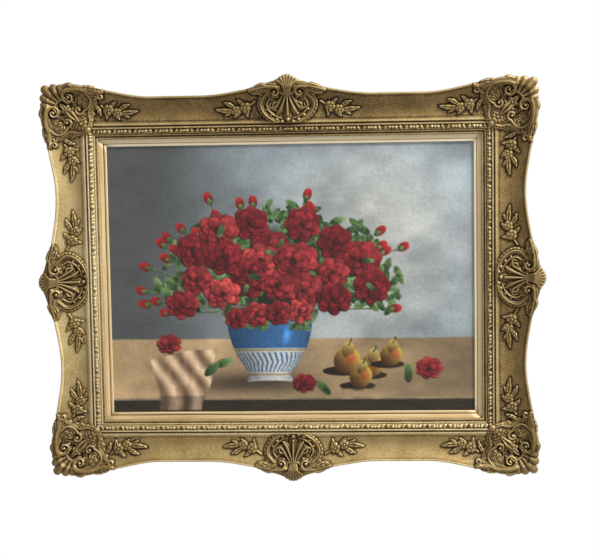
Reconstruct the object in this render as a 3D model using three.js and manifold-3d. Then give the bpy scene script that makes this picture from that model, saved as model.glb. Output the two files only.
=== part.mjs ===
// A landscape painting in a swept rococo frame, millimetres, +Z up, the front towards -Y.
// The origin is on the wall plane, at the middle of the top rail's back.
import * as THREE from 'three';
import Module from 'manifold-3d';

const wasm = await Module();
wasm.setup();

// Picture: a canvas on a stretcher, its edge hidden under the slip
const canvasWidth = 800;
const canvasHeight = 593;
const canvasThickness = 0.8;
const canvasTurnBack = 14; // turned over the back of the bars
const sightCover = 7; // hidden under the slip on each side
const stretcherBack = 12; // from the wall to the back of the bars
const stretcherDepth = 18;
const stretcherWidth = 50;
const stretcherRelief = 3; // the bars fall away behind the canvas, past a raised lip
const stretcherLip = 8; // width of the part that touches the canvas
const keyLength = 34;
const keyThickness = 4;
const keyBack = 16; // from the wall
const keyHead = 13; // the wide end, which is tapped with a hammer
const keyPoint = 3; // the thin end, in the corner

// Slip: a pale liner with a lip over the canvas and a leg round it
const slipWidth = 23.9;
const slipThickness = 7; // over the canvas, at the outer edge
const slipLegBack = 14;
const slipLegClearance = 0.6; // beside the canvas
const slipLip = [[0, 0], [0, 2.6], [1.4, 4], [4.8, 3.8], [6, 2.8], [7, 4.2]]; // [outwards, above its back]

// Rail: mouldings next to the slip, a cove, and a rim bead that sweeps
const railLipStart = 16; // from the sight edge, outwards
const rebateWall = 24.4;
const topWaist = 106; // narrowest width of the top and bottom rails, from the sight edge
const sideWaist = 109;
const crestRise = 22; // extra width at the middle of a rail
const crestReach = 185; // from the middle to where the extra width ends
const cornerWidth = 129; // width near the corners
const cornerStart = 102; // where the rail begins to widen, before the sight corner
const cornerFull = 58; // where it is widest, past the sight corner
const cornerDrop = 11; // rounding from there to the mitre
const rimDepth = 60; // from the wall to the top of the rim bead, at the waist
const rimRise = 4; // extra at crest and corners
const rimBead = 5;
const rimCrown = 0.75; // of the bead's width, from the outside to the bead's top
const rimShoulder = 0.25; // of the bead's width, where its top ends
const rimFall = 0.4; // of the bead's width, down at the outside
const coveSag = 9;
const sideTaper = 14; // the outside leans in towards the wall
const coveSteps = 3; // faces across the cove
const crestStations = 3; // sections along half the crest, the swell and the turn to the mitre
const swellStations = 3;
const turnStations = 2;
const pastMitre = 12; // the last section, before the mitre is cut
const closestStations = 5; // a section nearer to the crest's end than this is left out
const hangBelowRim = 6; // how far the cast ornaments wrap down past the rim

const wallMountRise = 45; // from the sight edge up to the origin
const gap = 0.3; // between pieces that touch
const soleThickness = 2.6; // of a casting's sole
const wrapGap = 2.4; // outside the rim, whose curve its straight faces span
const browClearance = 1.5; // inside the rim bead
const browRamp = 6;
const bridgeEnd = 1; // past the mouldings, where a corner comes down on the cove
const sliver = 0.4; // edges shorter than this in a casting are closed up
const castGap = 2; // under the castings, which span the faces of the cove

// Sprays, sixteen alike: [root, tip, width, bend] of the leaves, [centre, radius, height] of the blooms
const sprayCast = {
  stemRise: 54, stemFall: 0.6, stemEnd: [28, 37], stemWidths: [6, 7], stemHeight: 3.5,
  leaves: [[[24, 40], [29, 13], 14, 3], [[59, 31], [82, 44], 12, 2], [[59, 25], [99, 31], 14, -1.5]],
  leafHeight: 5.5,
  blooms: [[[35, 34], 12, 8], [[54, 26], 11, 7]],
};
const centreSprayStart = 55; // from the middle of the rail
const cornerSprayStart = 26; // past the sight corner
const centreStemStart = 15; // along the spray, clear of the cartouche
const cornerStemStart = 20;

// Centre cartouche: [along the rail, out from the rim's crest]; the outline is [along, inner, outer]
const centreCast = {
  eye: [26.5, -18], eyeRadius: 4, scrollRadius: 10,
  arm: [[40, -7], [53, -8], [66, -13], [78, -14]],
  armWidths: [6, 9, 11, 17, 16, 10], armHeights: [10, 11, 10, 8, 5],
  ring: [[44, -22], [54, -36], [49, -56], [31, -72], [14, -79]],
  ringWidths: [9, 10, 12], ringHeights: [4, 7, 4],
  sideLeaf: [[20, -34], [32, -56]], sideLeafWidth: 12, sideLeafHeight: 7,
  bell: [[3, -30], [15, -60]], bellWidths: [9, 11], bellHeights: [10, 7],
  tongue: [[0, -28], [0, -64]], tongueWidth: 6,
  flutes: [[[3, -12], [5, -3], [9, 15]], [[6, -12], [10, -3], [18, 9.5]]],
  middleFlute: [[0, -12], [0, -3], [0, 17.5]],
  fluteWidths: [5, 7, 10], fluteHeights: [10, 8, 4],
  knob: [0, -79], knobRadius: 8, knobHeight: 6,
  outline: [[12, -87, 17], [28, -78, 9], [49, -60, 3], [61, -24, 0], [82, -22, -6]],
  middle: [0, -89, 20],
};

// Corner cartouche: both coordinates from the corner of the rim; rows of the sole are [place, inner, outer]
const cornerCast = {
  outerEye: [-43, -5], outerRadii: [4, 10.5],
  outerArm: [[-57, 10], [-74, 6], [-90, -1], [-106, -1], [-114, 3]],
  outerWidths: [7, 9, 11, 18, 14, 11, 9], outerHeights: [12, 13, 11, 9, 7, 5],
  innerEye: [-65, -38], innerRadii: [3.5, 8.5],
  innerArm: [[-83, -30], [-84, -14], [-74, -4]],
  innerWidths: [7, 8, 12, 14, 9], innerHeights: [9, 11, 11, 8],
  rimLeaf: [[-92, -6], [-119, -13]], rimLeafWidth: 13, rimLeafHeight: 5,
  lobe: [[-30, -20], [-21, 5], [-18, 15]], cornerLobe: [[-16, -16], [-3, -3], [9, 9]],
  lobeWidths: [9, 15, 19], lobeHeights: [8, 7, 4],
  tongue: [[-42, -42], [-28, -28], [-12, -12]], tongueWidths: [6, 17, 12], tongueHeights: [10, 14, 10],
  palmette: [-68, -68], palmetteRadius: 14, palmetteHeight: 7,
  knob: [-82, -82], knobRadius: 6, knobHeight: 5,
  straightRows: [[-121, -18, 8], [-109, -21, 9], [-99, -55, 9]],
  splayedRows: [[0.42, -66, 20], [0.62, -78, 15], [0.85, -84, 18]],
  mitreRow: [-88, 15],
};

const sightX = canvasWidth / 2 - sightCover;
const sightZ = canvasHeight / 2 - sightCover;
const canvasFront = stretcherBack + stretcherDepth + gap + canvasThickness;
const slipBack = canvasFront + gap;
const slipFront = slipBack + slipThickness;
const railLipBack = slipFront + gap;

// Section of the mouldings between the lip and the cove: [out from the lip's edge, above the lip's back]
const mouldingSteps = [
  [0, 0], [0, 2.8], [1, 4], [3.4, 4], [3.9, 2.9], [6.8, 3.3], [7.2, 6], [9.4, 6.3], [10, 5.6],
  [12, 8.2], [16, 9.8], [20, 9.4], [21.4, 8], [22, 10.2], [25, 10.7], [25.7, 7], [28.8, 7],
  [29.3, 8.8], [30, 9],
];
const coveStart = railLipStart + mouldingSteps.at(-1)[0];
const coveStartDepth = railLipBack + mouldingSteps.at(-1)[1];
const mouldingCrest = railLipBack + Math.max(...mouldingSteps.map(([, rise]) => rise));

const wide = { half: sightX, waist: topWaist };
const tall = { half: sightZ, waist: sideWaist };

const colours = {
  gilt: { color: 0x9a8148, roughness: 0.45, metalness: 0.7 },
  castGilt: { color: 0x8a7442, roughness: 0.42, metalness: 0.7 },
  slip: { color: 0xd8c08a, roughness: 0.45, metalness: 0.5 },
  wood: { color: 0xc9a878, roughness: 0.75, metalness: 0 },
  canvas: { color: 0x8f8a86, roughness: 0.6, metalness: 0 },
};

const clamp01 = (x) => Math.min(1, Math.max(0, x));
const smooth = (x) => clamp01(x) ** 2 * (3 - 2 * clamp01(x));

// Outer edge of a rail, from the sight edge: a raised cosine at the middle and a swell at the corner
function rimWidth(rail, s) {
  const past = Math.abs(s) - rail.half;
  const crest = Math.abs(s) < crestReach ? crestRise * Math.cos((Math.PI * s) / (2 * crestReach)) ** 2 : 0;
  const swell = (cornerWidth - rail.waist) * smooth((past + cornerStart) / (cornerStart + cornerFull));
  const turn = past > cornerFull ? cornerDrop * ((past - cornerFull) / (rimCorner - cornerFull)) ** 2 : 0;
  return rail.waist + crest + swell - turn;
}
const rimCorner = cornerWidth - cornerDrop;

function rimTop(rail, s) {
  return rimDepth + (rimRise * (rimWidth(rail, s) - rail.waist)) / crestRise;
}

// The cove: a straight rise to the rim, less a parabola
function coveDepth(rail, s, t) {
  const f = (t - coveStart) / (rimWidth(rail, s) - rimBead - coveStart);
  const end = rimTop(rail, s) - rimBead / 2;
  return coveStartDepth + (end - coveStartDepth) * f - coveSag * 4 * f * (1 - f);
}

// Depth of a rail's front at s along it and t out from the sight edge
function railFront(rail, s, t) {
  const rim = rimWidth(rail, s);
  const crown = rim - rimBead * rimCrown;
  const below = clamp01((crown - t) / (rimBead * (1 - rimCrown)));
  if (t >= rim - rimBead) return rimTop(rail, s) - (rimBead / 2) * below;
  if (t >= coveStart) return coveDepth(rail, s, t);
  const out = Math.max(0, t - railLipStart);
  const next = mouldingSteps.findIndex(([run]) => run > out);
  const [run0, rise0] = mouldingSteps[next - 1];
  const [run1, rise1] = mouldingSteps[next];
  return railLipBack + rise0 + ((rise1 - rise0) * (out - run0)) / (run1 - run0);
}

// The swept part of a rail's section at s: cove, rim bead, outside and back
function sweptSection(rail, s, steps) {
  const rim = rimWidth(rail, s);
  const top = rimTop(rail, s);
  const section = [[coveStart, 0], [coveStart, coveStartDepth]];
  for (let i = 1; i <= steps; i += 1) {
    const t = coveStart + ((rim - rimBead - coveStart) * i) / steps;
    section.push([t, coveDepth(rail, s, t)]);
  }
  section.push([rim - rimBead * rimCrown, top], [rim - rimBead * rimShoulder, top]);
  section.push([rim, top - rimBead * rimFall]);
  section.push([rim - sideTaper, 0]);
  return section;
}

// A solid from points and triangles, turned outwards if its volume comes out negative
function solidFrom(points, triangles) {
  let volume = 0;
  for (const [i, j, k] of triangles) {
    const [a, b, c] = [points[i], points[j], points[k]];
    volume += a[0] * (b[1] * c[2] - b[2] * c[1]) + a[1] * (b[2] * c[0] - b[0] * c[2]);
    volume += a[2] * (b[0] * c[1] - b[1] * c[0]);
  }
  const faces = volume > 0 ? triangles : triangles.map(([i, j, k]) => [i, k, j]);
  const vertProperties = new Float32Array(points.flat());
  const triVerts = new Uint32Array(faces.flat());
  return new wasm.Manifold(new wasm.Mesh({ numProp: 3, vertProperties, triVerts }));
}

// A solid carried through rings of equal count, closed at both ends with the given triangles
function loft(rings, capTriangles) {
  const count = rings[0].length;
  const triangles = [];
  for (let r = 0; r + 1 < rings.length; r += 1) {
    for (let i = 0; i < count; i += 1) {
      const a = r * count + i;
      const b = r * count + ((i + 1) % count);
      triangles.push([a, b, b + count], [a, b + count, a + count]);
    }
  }
  const last = (rings.length - 1) * count;
  for (const [i, j, k] of capTriangles) {
    triangles.push([k, j, i], [last + i, last + j, last + k]);
  }
  return solidFrom(rings.flat(), triangles);
}

// Triangles that fill an outline, wound the way the outline runs
function capOf(outline) {
  const flat = outline.map(([x, y]) => new THREE.Vector2(x, y));
  const turns = THREE.ShapeUtils.area(flat) > 0;
  return THREE.ShapeUtils.triangulateShape(flat, []).map(([i, j, k]) => {
    const same = THREE.ShapeUtils.area([flat[i], flat[j], flat[k]]) > 0 === turns;
    return same ? [i, j, k] : [i, k, j];
  });
}

// A polygon in the rail's plane, extruded between two depths
function prism(outline, backDepth, frontDepth) {
  const caps = capOf(outline);
  const ring = (depth) => outline.map(([s, t]) => [s, -depth, t]);
  return loft([ring(backDepth), ring(frontDepth)], caps);
}

// The mitred span of a rail, slip or bar: every edge point lies on the 45 degree cut, less half a gap
function mitred(body, half, reach) {
  const margin = gap / Math.SQRT2;
  const inner = half - reach - margin;
  const outer = half + reach - margin;
  const outline = [[-inner, -reach], [inner, -reach], [outer, reach], [-outer, reach]];
  return body.intersect(prism(outline, -rimDepth, 2 * rimDepth));
}

// A straight moulding of one section, mitred at both ends
function mitredStrip(section, half, reach) {
  const ring = (s) => section.map(([t, depth]) => [s, -depth, t]);
  return mitred(loft([ring(-half - reach), ring(half + reach)], capOf(section)), half, reach);
}

// Places along half a rail where its outer edge needs a section
function halfStations(rail) {
  const stations = [];
  for (let i = 1; i <= crestStations; i += 1) stations.push((crestReach * i) / crestStations);
  const swell = cornerStart + cornerFull;
  for (let i = 0; i <= swellStations; i += 1) {
    stations.push(rail.half - cornerStart + (swell * i) / swellStations);
  }
  const turn = rimCorner + pastMitre - cornerFull;
  for (let i = 1; i <= turnStations; i += 1) {
    stations.push(rail.half + cornerFull + (turn * i) / turnStations);
  }
  return stations.filter((s, i) => i < crestStations || s > crestReach + closestStations);
}

// The rail: straight inner mouldings joined to the cove and rim that sweep
function railSolid(rail) {
  const inner = [[rebateWall, 0], [rebateWall, railLipBack]];
  for (const [run, rise] of mouldingSteps) inner.push([railLipStart + run, railLipBack + rise]);
  inner.push([coveStart, 0]);
  const half = halfStations(rail);
  const rings = [...half.map((s) => -s).reverse(), 0, ...half].map((s) => (
    sweptSection(rail, s, coveSteps).map(([t, depth]) => [s, -depth, t])
  ));
  const swept = mitred(loft(rings, capOf(sweptSection(rail, 0, coveSteps))), rail.half, cornerWidth + pastMitre);
  return mitredStrip(inner, rail.half, cornerWidth).add(swept);
}

// The putty bed of a casting bridges the step up to the rim bead: depth below a point of the bed
function bedFront(rail, s, t) {
  const brow = rimWidth(rail, s) - rimBead - browClearance;
  const ramp = clamp01((t - brow) / browRamp + 1);
  return railFront(rail, s, t) * (1 - ramp) + rimTop(rail, s) * ramp;
}

// A bedding tells a casting what is below a point of its plane, and the width of the rail there
function railBedding(rail) {
  return { front: (s, t) => bedFront(rail, s, t), rim: (s) => rimWidth(rail, s) };
}
const cornerBedding = {
  bridges: true, // over the mouldings
  front: (a, b) => {
    if (Math.max(a, b) < coveStart + bridgeEnd) return mouldingCrest;
    return b > a ? bedFront(wide, sightX + a, b) : bedFront(tall, sightZ + b, a);
  },
  rim: (a, b) => (b > a ? rimWidth(wide, sightX + a) : rimWidth(tall, sightZ + b)),
};

// Castings are modelled on a flat ground and then draped on the wood. This is one section of the thin
// sole of a casting, across the rail and round its rim: place turns a width into a point
function soleRing(bedding, place, inner, reach) {
  let rim = cornerWidth;
  for (let i = 0; i < 8; i += 1) rim = bedding.rim(...place(rim));
  const outer = Math.max(reach, rim + wrapGap + 1);
  const brow = rim - rimBead - browClearance;
  const ramp = brow - browRamp;
  const start = inner < coveStart ? coveStart + bridgeEnd : inner + (ramp - inner) / 3;
  const middles = bedding.bridges ? [start, (start + ramp) / 2] : [(inner + ramp) / 2];
  const across = [inner, ...middles, ramp, brow];
  const section = [
    ...across.map((t) => [t, 0]), [rim + wrapGap, 0], [rim + wrapGap, -hangBelowRim],
    [outer, -hangBelowRim / 2], [outer, soleThickness / 2],
    ...across.reverse().map((t) => [t, soleThickness]),
  ];
  return section.map(([t, height]) => {
    const [x, z] = place(t);
    return [x, -height, z];
  });
}

// Only the outer skin is kept, so that a pocket closed in between two scrolls is filled
function draped(bedding, casting) {
  const skin = casting.decompose().reduce((most, shell) => (shell.volume() > most.volume() ? shell : most));
  const lie = (point) => {
    point[1] -= bedding.front(point[0], point[2]) + castGap;
  };
  return skin.warp(lie).simplify(sliver);
}

// A carved ridge along a path, its widths and heights given as lists spread evenly along it
function ridge(path, widths, heights) {
  const spread = (list, u) => {
    const place = u * (list.length - 1);
    const i = Math.min(Math.floor(place), list.length - 2);
    return list[i] + (list[i + 1] - list[i]) * (place - i);
  };
  const rings = path.map(([x, z], i) => {
    const before = path[Math.max(0, i - 1)];
    const after = path[Math.min(path.length - 1, i + 1)];
    const run = Math.hypot(after[0] - before[0], after[1] - before[1]);
    const side = [-(after[1] - before[1]) / run, (after[0] - before[0]) / run];
    const u = i / (path.length - 1);
    const half = spread(widths, u) / 2;
    const point = (k, h) => [x + side[0] * half * k, -h, z + side[1] * half * k];
    return [point(-1, 0), point(0, spread(heights, u)), point(1, 0)];
  });
  return loft(rings, [[0, 1, 2]]);
}

// A smooth path through a few points, in even steps
function through(points, steps) {
  const places = points.map(([x, z]) => new THREE.Vector3(x, 0, z));
  const curve = new THREE.CatmullRomCurve3(places, false, 'centripetal');
  return curve.getSpacedPoints(steps).map((p) => [p.x, p.z]);
}

// A volute from its eye outwards, angles in degrees
function volute(eye, innerRadius, outerRadius, from, to, steps) {
  return Array.from({ length: steps + 1 }, (_, i) => {
    const u = i / steps;
    const angle = THREE.MathUtils.degToRad(from + (to - from) * u);
    const radius = innerRadius + (outerRadius - innerRadius) * u;
    return [eye[0] + radius * Math.cos(angle), eye[1] + radius * Math.sin(angle)];
  });
}

// Points round a centre at a height, the first at a starting angle
function ringAround([x, z], radius, sides, height, start = 0) {
  return Array.from({ length: sides }, (_, i) => {
    const angle = start + (2 * Math.PI * i) / sides;
    return [x + radius * Math.cos(angle), -height, z + radius * Math.sin(angle)];
  });
}

// Triangles between the two long sides of a strip-like outline, each point joined to the one across
const stripCap = (count) => Array.from({ length: count / 2 - 1 }, (_, i) => [
  [i, i + 1, count - 1 - i], [i + 1, count - 2 - i, count - 1 - i],
]).flat();

const fanCap = (sides) => Array.from({ length: sides - 2 }, (_, i) => [0, i + 1, i + 2]);

// A button, narrower at its top
const buttonTop = 0.6; // of its radius
function dome(centre, radius, height, sides = 5) {
  const base = ringAround(centre, radius, sides, 0);
  const top = ringAround(centre, radius * buttonTop, sides, height);
  return loft([base, top], fanCap(sides));
}

// A leaf: a pointed outline with a raised midrib; bend moves its middle sideways. Shares of its length
const leafShape = { widest: 0.4, ribStart: 0.2, ribEnd: 0.75, endRise: 0.8 };
function leaf(root, tip, width, height, bend = 0) {
  const run = [tip[0] - root[0], tip[1] - root[1]];
  const length = Math.hypot(run[0], run[1]);
  const side = [-run[1] / length, run[0] / length];
  const at = (along, across, h) => {
    const off = across * width * 0.5 + bend * 4 * along * (1 - along);
    return [root[0] + run[0] * along + side[0] * off, -h, root[1] + run[1] * along + side[1] * off];
  };
  const { widest, ribStart, ribEnd, endRise } = leafShape;
  const edge = [at(0, 0, 0), at(widest, 1, 0), at(1, 0, 0), at(widest, -1, 0)];
  const points = [...edge, at(ribStart, 0, height), at(ribEnd, 0, height * endRise)];
  const triangles = [
    [0, 1, 4], [1, 5, 4], [1, 2, 5], [2, 3, 5], [3, 4, 5], [3, 0, 4], [0, 3, 1], [1, 3, 2],
  ];
  return solidFrom(points, triangles);
}

// A bloom: petals that rise to points halfway in and meet the rim between them, round a sunken middle
const bloomShape = { petalTop: 0.62, middleRise: 0.4 }; // of its radius and of its height
function rosette(centre, radius, height, petals = 5) {
  const base = ringAround(centre, radius, petals, 0);
  const ring = ringAround(centre, radius * bloomShape.petalTop, petals, height, Math.PI / petals);
  const points = [...base, ...ring, [centre[0], -height * bloomShape.middleRise, centre[1]]];
  const triangles = fanCap(petals).map(([i, j, k]) => [k, j, i]);
  for (let i = 0; i < petals; i += 1) {
    const next = (i + 1) % petals;
    triangles.push([i, next, petals + i], [next, petals + next, petals + i]);
    triangles.push([petals + i, petals + next, 2 * petals]);
  }
  return solidFrom(points, triangles);
}

const joined = (solids) => solids.reduce((sum, next) => sum.add(next));

// The sole joined to carving that starts inside it
function onSole(bedding, rings, carving) {
  const sole = loft(rings, stripCap(rings[0].length));
  const shape = joined([sole, ...carving.map((piece) => piece.translate([0, -soleThickness / 2, 0]))]);
  return draped(bedding, shape);
}

// Flower spray, along p from its stem's root and q out from the cove's inner edge
function spray(bedding, start, hand, stemStart) {
  const at = ([p, q]) => [start + hand * p, coveStart + q];
  const cast = sprayCast;
  const stemRoot = [stemStart, cast.stemRise - stemStart * cast.stemFall];
  const leaves = cast.leaves.map(([root, tip, width, bend]) => (
    leaf(at(root), at(tip), width, cast.leafHeight, bend * hand)
  ));
  const blooms = cast.blooms.map(([centre, radius, height]) => rosette(at(centre), radius, height));
  const stem = ridge([at(stemRoot), at(cast.stemEnd)], cast.stemWidths, [cast.stemHeight, cast.stemHeight]);
  return draped(bedding, joined([stem, ...blooms, ...leaves]));
}

// Centre cartouche, in s and v, where v is measured from the rim at the middle of the rail
function centreOrnament(bedding, rail) {
  const crest = rail.waist + crestRise;
  const cast = centreCast;
  const at = ([s, v]) => [s, crest + v];
  const half = (hand) => {
    const to = ([s, v]) => at([hand * s, v]);
    const spin = hand > 0 ? [0, -270] : [180, 450];
    const eye = volute(to(cast.eye), cast.eyeRadius, cast.scrollRadius, ...spin, 6);
    return [
      ridge(through([...eye, ...cast.arm.map(to)], 7), cast.armWidths, cast.armHeights),
      ridge(through(cast.ring.map(to), 3), cast.ringWidths, cast.ringHeights),
      leaf(to(cast.sideLeaf[0]), to(cast.sideLeaf[1]), cast.sideLeafWidth, cast.sideLeafHeight, 2 * hand),
      ridge(cast.bell.map(to), cast.bellWidths, cast.bellHeights),
      ...cast.flutes.map((flute) => ridge(flute.map(to), cast.fluteWidths, cast.fluteHeights)),
    ];
  };
  const leftward = cast.outline.map(([s, inner, outer]) => [-s, inner, outer]).reverse();
  const all = [...leftward, cast.middle, ...cast.outline];
  const rings = all.map(([s, inner, outer]) => (
    soleRing(bedding, (t) => [s, t], Math.max(crest + inner, coveStart + bridgeEnd), crest + outer)
  ));
  return onSole(bedding, rings, [
    ...half(1),
    ...half(-1),
    ridge(cast.middleFlute.map(at), cast.fluteWidths, cast.fluteHeights),
    ridge(cast.tongue.map(at), [cast.tongueWidth, cast.tongueWidth], cast.bellHeights),
    dome(at(cast.knob), cast.knobRadius, cast.knobHeight),
  ]);
}

// Corner cartouche, in a and b past the sight corner; one half is built and then swapped over the mitre
function cornerOrnament(bedding) {
  const cast = cornerCast;
  const at = ([a, b]) => [rimCorner + a, rimCorner + b];
  const swap = ([x, z]) => [z, x];
  const half = (turned) => {
    const turn = (points) => (turned ? points.map(swap) : points);
    const run = (points) => turn(points.map(at));
    const curl = (eye, radii, angles) => turn(volute(at(eye), ...radii, ...angles, 6));
    const outerArm = [...curl(cast.outerEye, cast.outerRadii, [-180, 80]), ...run(cast.outerArm)];
    const innerArm = [...curl(cast.innerEye, cast.innerRadii, [120, -170]), ...run(cast.innerArm)];
    const [rimLeafRoot, rimLeafTip] = run(cast.rimLeaf);
    return [
      ridge(through(outerArm, 8), cast.outerWidths, cast.outerHeights),
      ridge(through(innerArm, 6), cast.innerWidths, cast.innerHeights),
      leaf(rimLeafRoot, rimLeafTip, cast.rimLeafWidth, cast.rimLeafHeight, turned ? 2 : -2),
      ridge(run(cast.lobe), cast.lobeWidths, cast.lobeHeights),
    ];
  };
  const straight = cast.straightRows.map(([a, inner, outer]) => (
    [(t) => [rimCorner + a, t], rimCorner + inner, rimCorner + outer]
  ));
  const splayed = cast.splayedRows.map(([slope, inner, outer]) => (
    [(t) => [slope * t, t], rimCorner + inner, rimCorner + outer]
  ));
  const halfRings = [...straight, ...splayed].map((station) => soleRing(bedding, ...station));
  const [mitreInner, mitreOuter] = cast.mitreRow;
  const mitre = soleRing(bedding, (t) => [t, t], rimCorner + mitreInner, rimCorner + mitreOuter);
  const mirrored = halfRings.map((ring) => ring.map(([x, y, z]) => [z, y, x])).reverse();
  return onSole(bedding, [...halfRings, mitre, ...mirrored], [
    ...half(false),
    ...half(true),
    ridge(cast.cornerLobe.map(at), cast.lobeWidths, cast.lobeHeights),
    ridge(cast.tongue.map(at), cast.tongueWidths, cast.tongueHeights),
    rosette(at(cast.palmette), cast.palmetteRadius, cast.palmetteHeight, 6),
    dome(at(cast.knob), cast.knobRadius, cast.knobHeight),
  ]);
}

const toGeometry = (solid) => {
  const mesh = solid.getMesh();
  const geometry = new THREE.BufferGeometry();
  geometry.setAttribute('position', new THREE.BufferAttribute(new Float32Array(mesh.vertProperties), 3));
  geometry.setIndex(new THREE.BufferAttribute(new Uint32Array(mesh.triVerts), 1));
  return geometry;
};

const frame = new THREE.Group();
const pictureCentre = new THREE.Group();
pictureCentre.position.z = -(sightZ + wallMountRise);
frame.add(pictureCentre);

function addPiece(parent, name, solid, finish) {
  const mesh = new THREE.Mesh(toGeometry(solid), new THREE.MeshStandardMaterial(colours[finish]));
  mesh.name = name;
  parent.add(mesh);
}

const rails = { wide: railSolid(wide), tall: railSolid(tall) };
const slipSection = [
  ...slipLip.map(([out, rise]) => [out, slipBack + rise]),
  [railLipStart - 1, slipFront], [slipWidth, slipFront], [slipWidth, slipLegBack],
  [sightCover + slipLegClearance, slipLegBack], [sightCover + slipLegClearance, slipBack],
];
const sides = [
  ['top', wide, 0, rails.wide], ['right', tall, 1, rails.tall],
  ['bottom', wide, 2, rails.wide], ['left', tall, 3, rails.tall],
];
for (const [name, rail, quarter, railShape] of sides) {
  const group = new THREE.Group();
  group.rotation.y = (quarter * Math.PI) / 2;
  const away = rail === wide ? sightZ : sightX;
  group.position.set(Math.sin(group.rotation.y) * away, 0, Math.cos(group.rotation.y) * away);
  pictureCentre.add(group);
  const bedding = railBedding(rail);
  addPiece(group, `rail_${name}`, railShape, 'gilt');
  addPiece(group, `slip_${name}`, mitredStrip(slipSection, rail.half, slipWidth), 'slip');
  const centre = centreOrnament(bedding, rail);
  addPiece(group, `centre_ornament_${name}`, centre, 'castGilt');
  for (const hand of [-1, 1]) {
    const side = hand < 0 ? 'a' : 'b';
    for (const [place, start, run, stem] of [
      ['centre', centreSprayStart, 1, centreStemStart],
      ['corner', rail.half + cornerSprayStart, -1, cornerStemStart],
    ]) {
      const shape = spray(bedding, hand * start, hand * run, stem);
      addPiece(group, `spray_${name}_${place}_${side}`, shape, 'castGilt');
    }
  }
}
const corner = cornerOrnament(cornerBedding);

// Stretcher bars: mitred, with a raised lip at the outer edge so that only it touches the canvas
const stretcherFront = stretcherBack + stretcherDepth;
const wrap = canvasThickness + gap;
const bar = [
  [0, stretcherBack], [stretcherWidth, stretcherBack], [stretcherWidth, stretcherFront],
  [stretcherWidth - stretcherLip, stretcherFront], [0, stretcherFront - stretcherRelief],
];
const innerX = canvasWidth / 2 - wrap - stretcherWidth;
const innerZ = canvasHeight / 2 - wrap - stretcherWidth;
const bars = [['top', innerX, innerZ, 0], ['right', innerZ, innerX, 1], ['bottom', innerX, innerZ, 2],
  ['left', innerZ, innerX, 3]];
for (const [name, half, away, quarter] of bars) {
  const group = new THREE.Group();
  group.rotation.y = (quarter * Math.PI) / 2;
  group.position.set(Math.sin(group.rotation.y) * away, 0, Math.cos(group.rotation.y) * away);
  pictureCentre.add(group);
  addPiece(group, `stretcher_${name}`, mitredStrip(bar, half, stretcherWidth), 'wood');
  for (const hand of [-1, 1]) {
    // A key lies along the bar's inner edge, its point in the corner
    const end = hand * (half - keyPoint - 2 * gap);
    const start = end - hand * keyLength;
    const outline = [[end, -gap - keyPoint], [end, -gap], [start, -gap], [start, -gap - keyHead]];
    const key = prism(outline, keyBack, keyBack + keyThickness);
    addPiece(group, `stretcher_key_${name}_${hand < 0 ? 'a' : 'b'}`, key, 'wood');
  }
}

// Canvas: a shallow tray of linen round the stretcher, turned over its back
const box = (halfX, halfZ, backDepth, frontDepth) => prism(
  [[-halfX, -halfZ], [halfX, -halfZ], [halfX, halfZ], [-halfX, halfZ]], backDepth, frontDepth,
);
const [outerX, outerZ] = [canvasWidth / 2, canvasHeight / 2];
const backOpening = canvasThickness + gap + canvasTurnBack;
const [hollowX, hollowZ] = [outerX - canvasThickness, outerZ - canvasThickness];
const canvas = box(outerX, outerZ, stretcherBack - wrap, canvasFront)
  .subtract(box(hollowX, hollowZ, stretcherBack - gap, canvasFront - canvasThickness))
  .subtract(box(outerX - backOpening, outerZ - backOpening, 0, stretcherBack));
addPiece(pictureCentre, 'canvas', canvas, 'canvas');
const cornerPlaces = [
  ['top_right', 1, 1], ['bottom_right', 1, -1], ['bottom_left', -1, -1], ['top_left', -1, 1],
];
for (const [name, across, up] of cornerPlaces) {
  const placed = corner.translate([sightX, 0, sightZ]).scale([across, 1, up]);
  addPiece(pictureCentre, `corner_ornament_${name}`, placed, 'castGilt');
}

export default frame;
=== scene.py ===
import math

import bpy
import numpy as np
from mathutils import Matrix, Vector


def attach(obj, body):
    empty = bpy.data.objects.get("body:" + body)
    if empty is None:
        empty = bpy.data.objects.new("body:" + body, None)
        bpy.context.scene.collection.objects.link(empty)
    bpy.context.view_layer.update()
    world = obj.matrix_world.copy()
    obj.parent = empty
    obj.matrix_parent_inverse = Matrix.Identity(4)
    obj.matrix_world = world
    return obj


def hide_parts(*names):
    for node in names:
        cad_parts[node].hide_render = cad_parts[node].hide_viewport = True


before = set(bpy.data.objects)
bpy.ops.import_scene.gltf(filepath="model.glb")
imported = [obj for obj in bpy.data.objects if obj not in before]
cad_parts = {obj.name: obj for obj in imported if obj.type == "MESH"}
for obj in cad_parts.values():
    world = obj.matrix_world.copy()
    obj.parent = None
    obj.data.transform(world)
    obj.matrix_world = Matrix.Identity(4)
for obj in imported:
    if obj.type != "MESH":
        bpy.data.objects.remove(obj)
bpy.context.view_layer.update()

scene = bpy.context.scene
scene.view_settings.view_transform = "Standard"

# Camera and room. Lengths are metres here; the frame and the castings below are worked out in mm
cameraSet = {
    "place": (0.214, -3.317, 0.0015),
    "yaw": -3.39, "pitch": -5.88, "roll": 0.96,  # degrees, fitted to the four corners of the picture
    "focalPixels": 1533.9, "imageWidth": 600, "sensor": 36,
}
roomSet = {
    "floorHeight": -2.7, "floorSize": 2.4, "floorColour": "#f4f3f0", "floorRough": 0.9,
    "worldColour": "#ffffff", "worldSeen": 1.0, "worldLight": 0.34,
    "aim": (0, 0, -0.33),  # the middle of the picture
    # name: place, size, watts
    "lights": {
        "key": ((2.3, -1.15, 2.1), 1.1, 185),
        "fill": ((0.4, -3.4, 0.8), 2.6, 12),
        "back": ((0.6, 2.6, 0.8), 2.0, 45),
    },
}


# What is below 0 or over 1 is brought to it
def clamp01(x):
    return np.clip(x, 0, 1)


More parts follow.
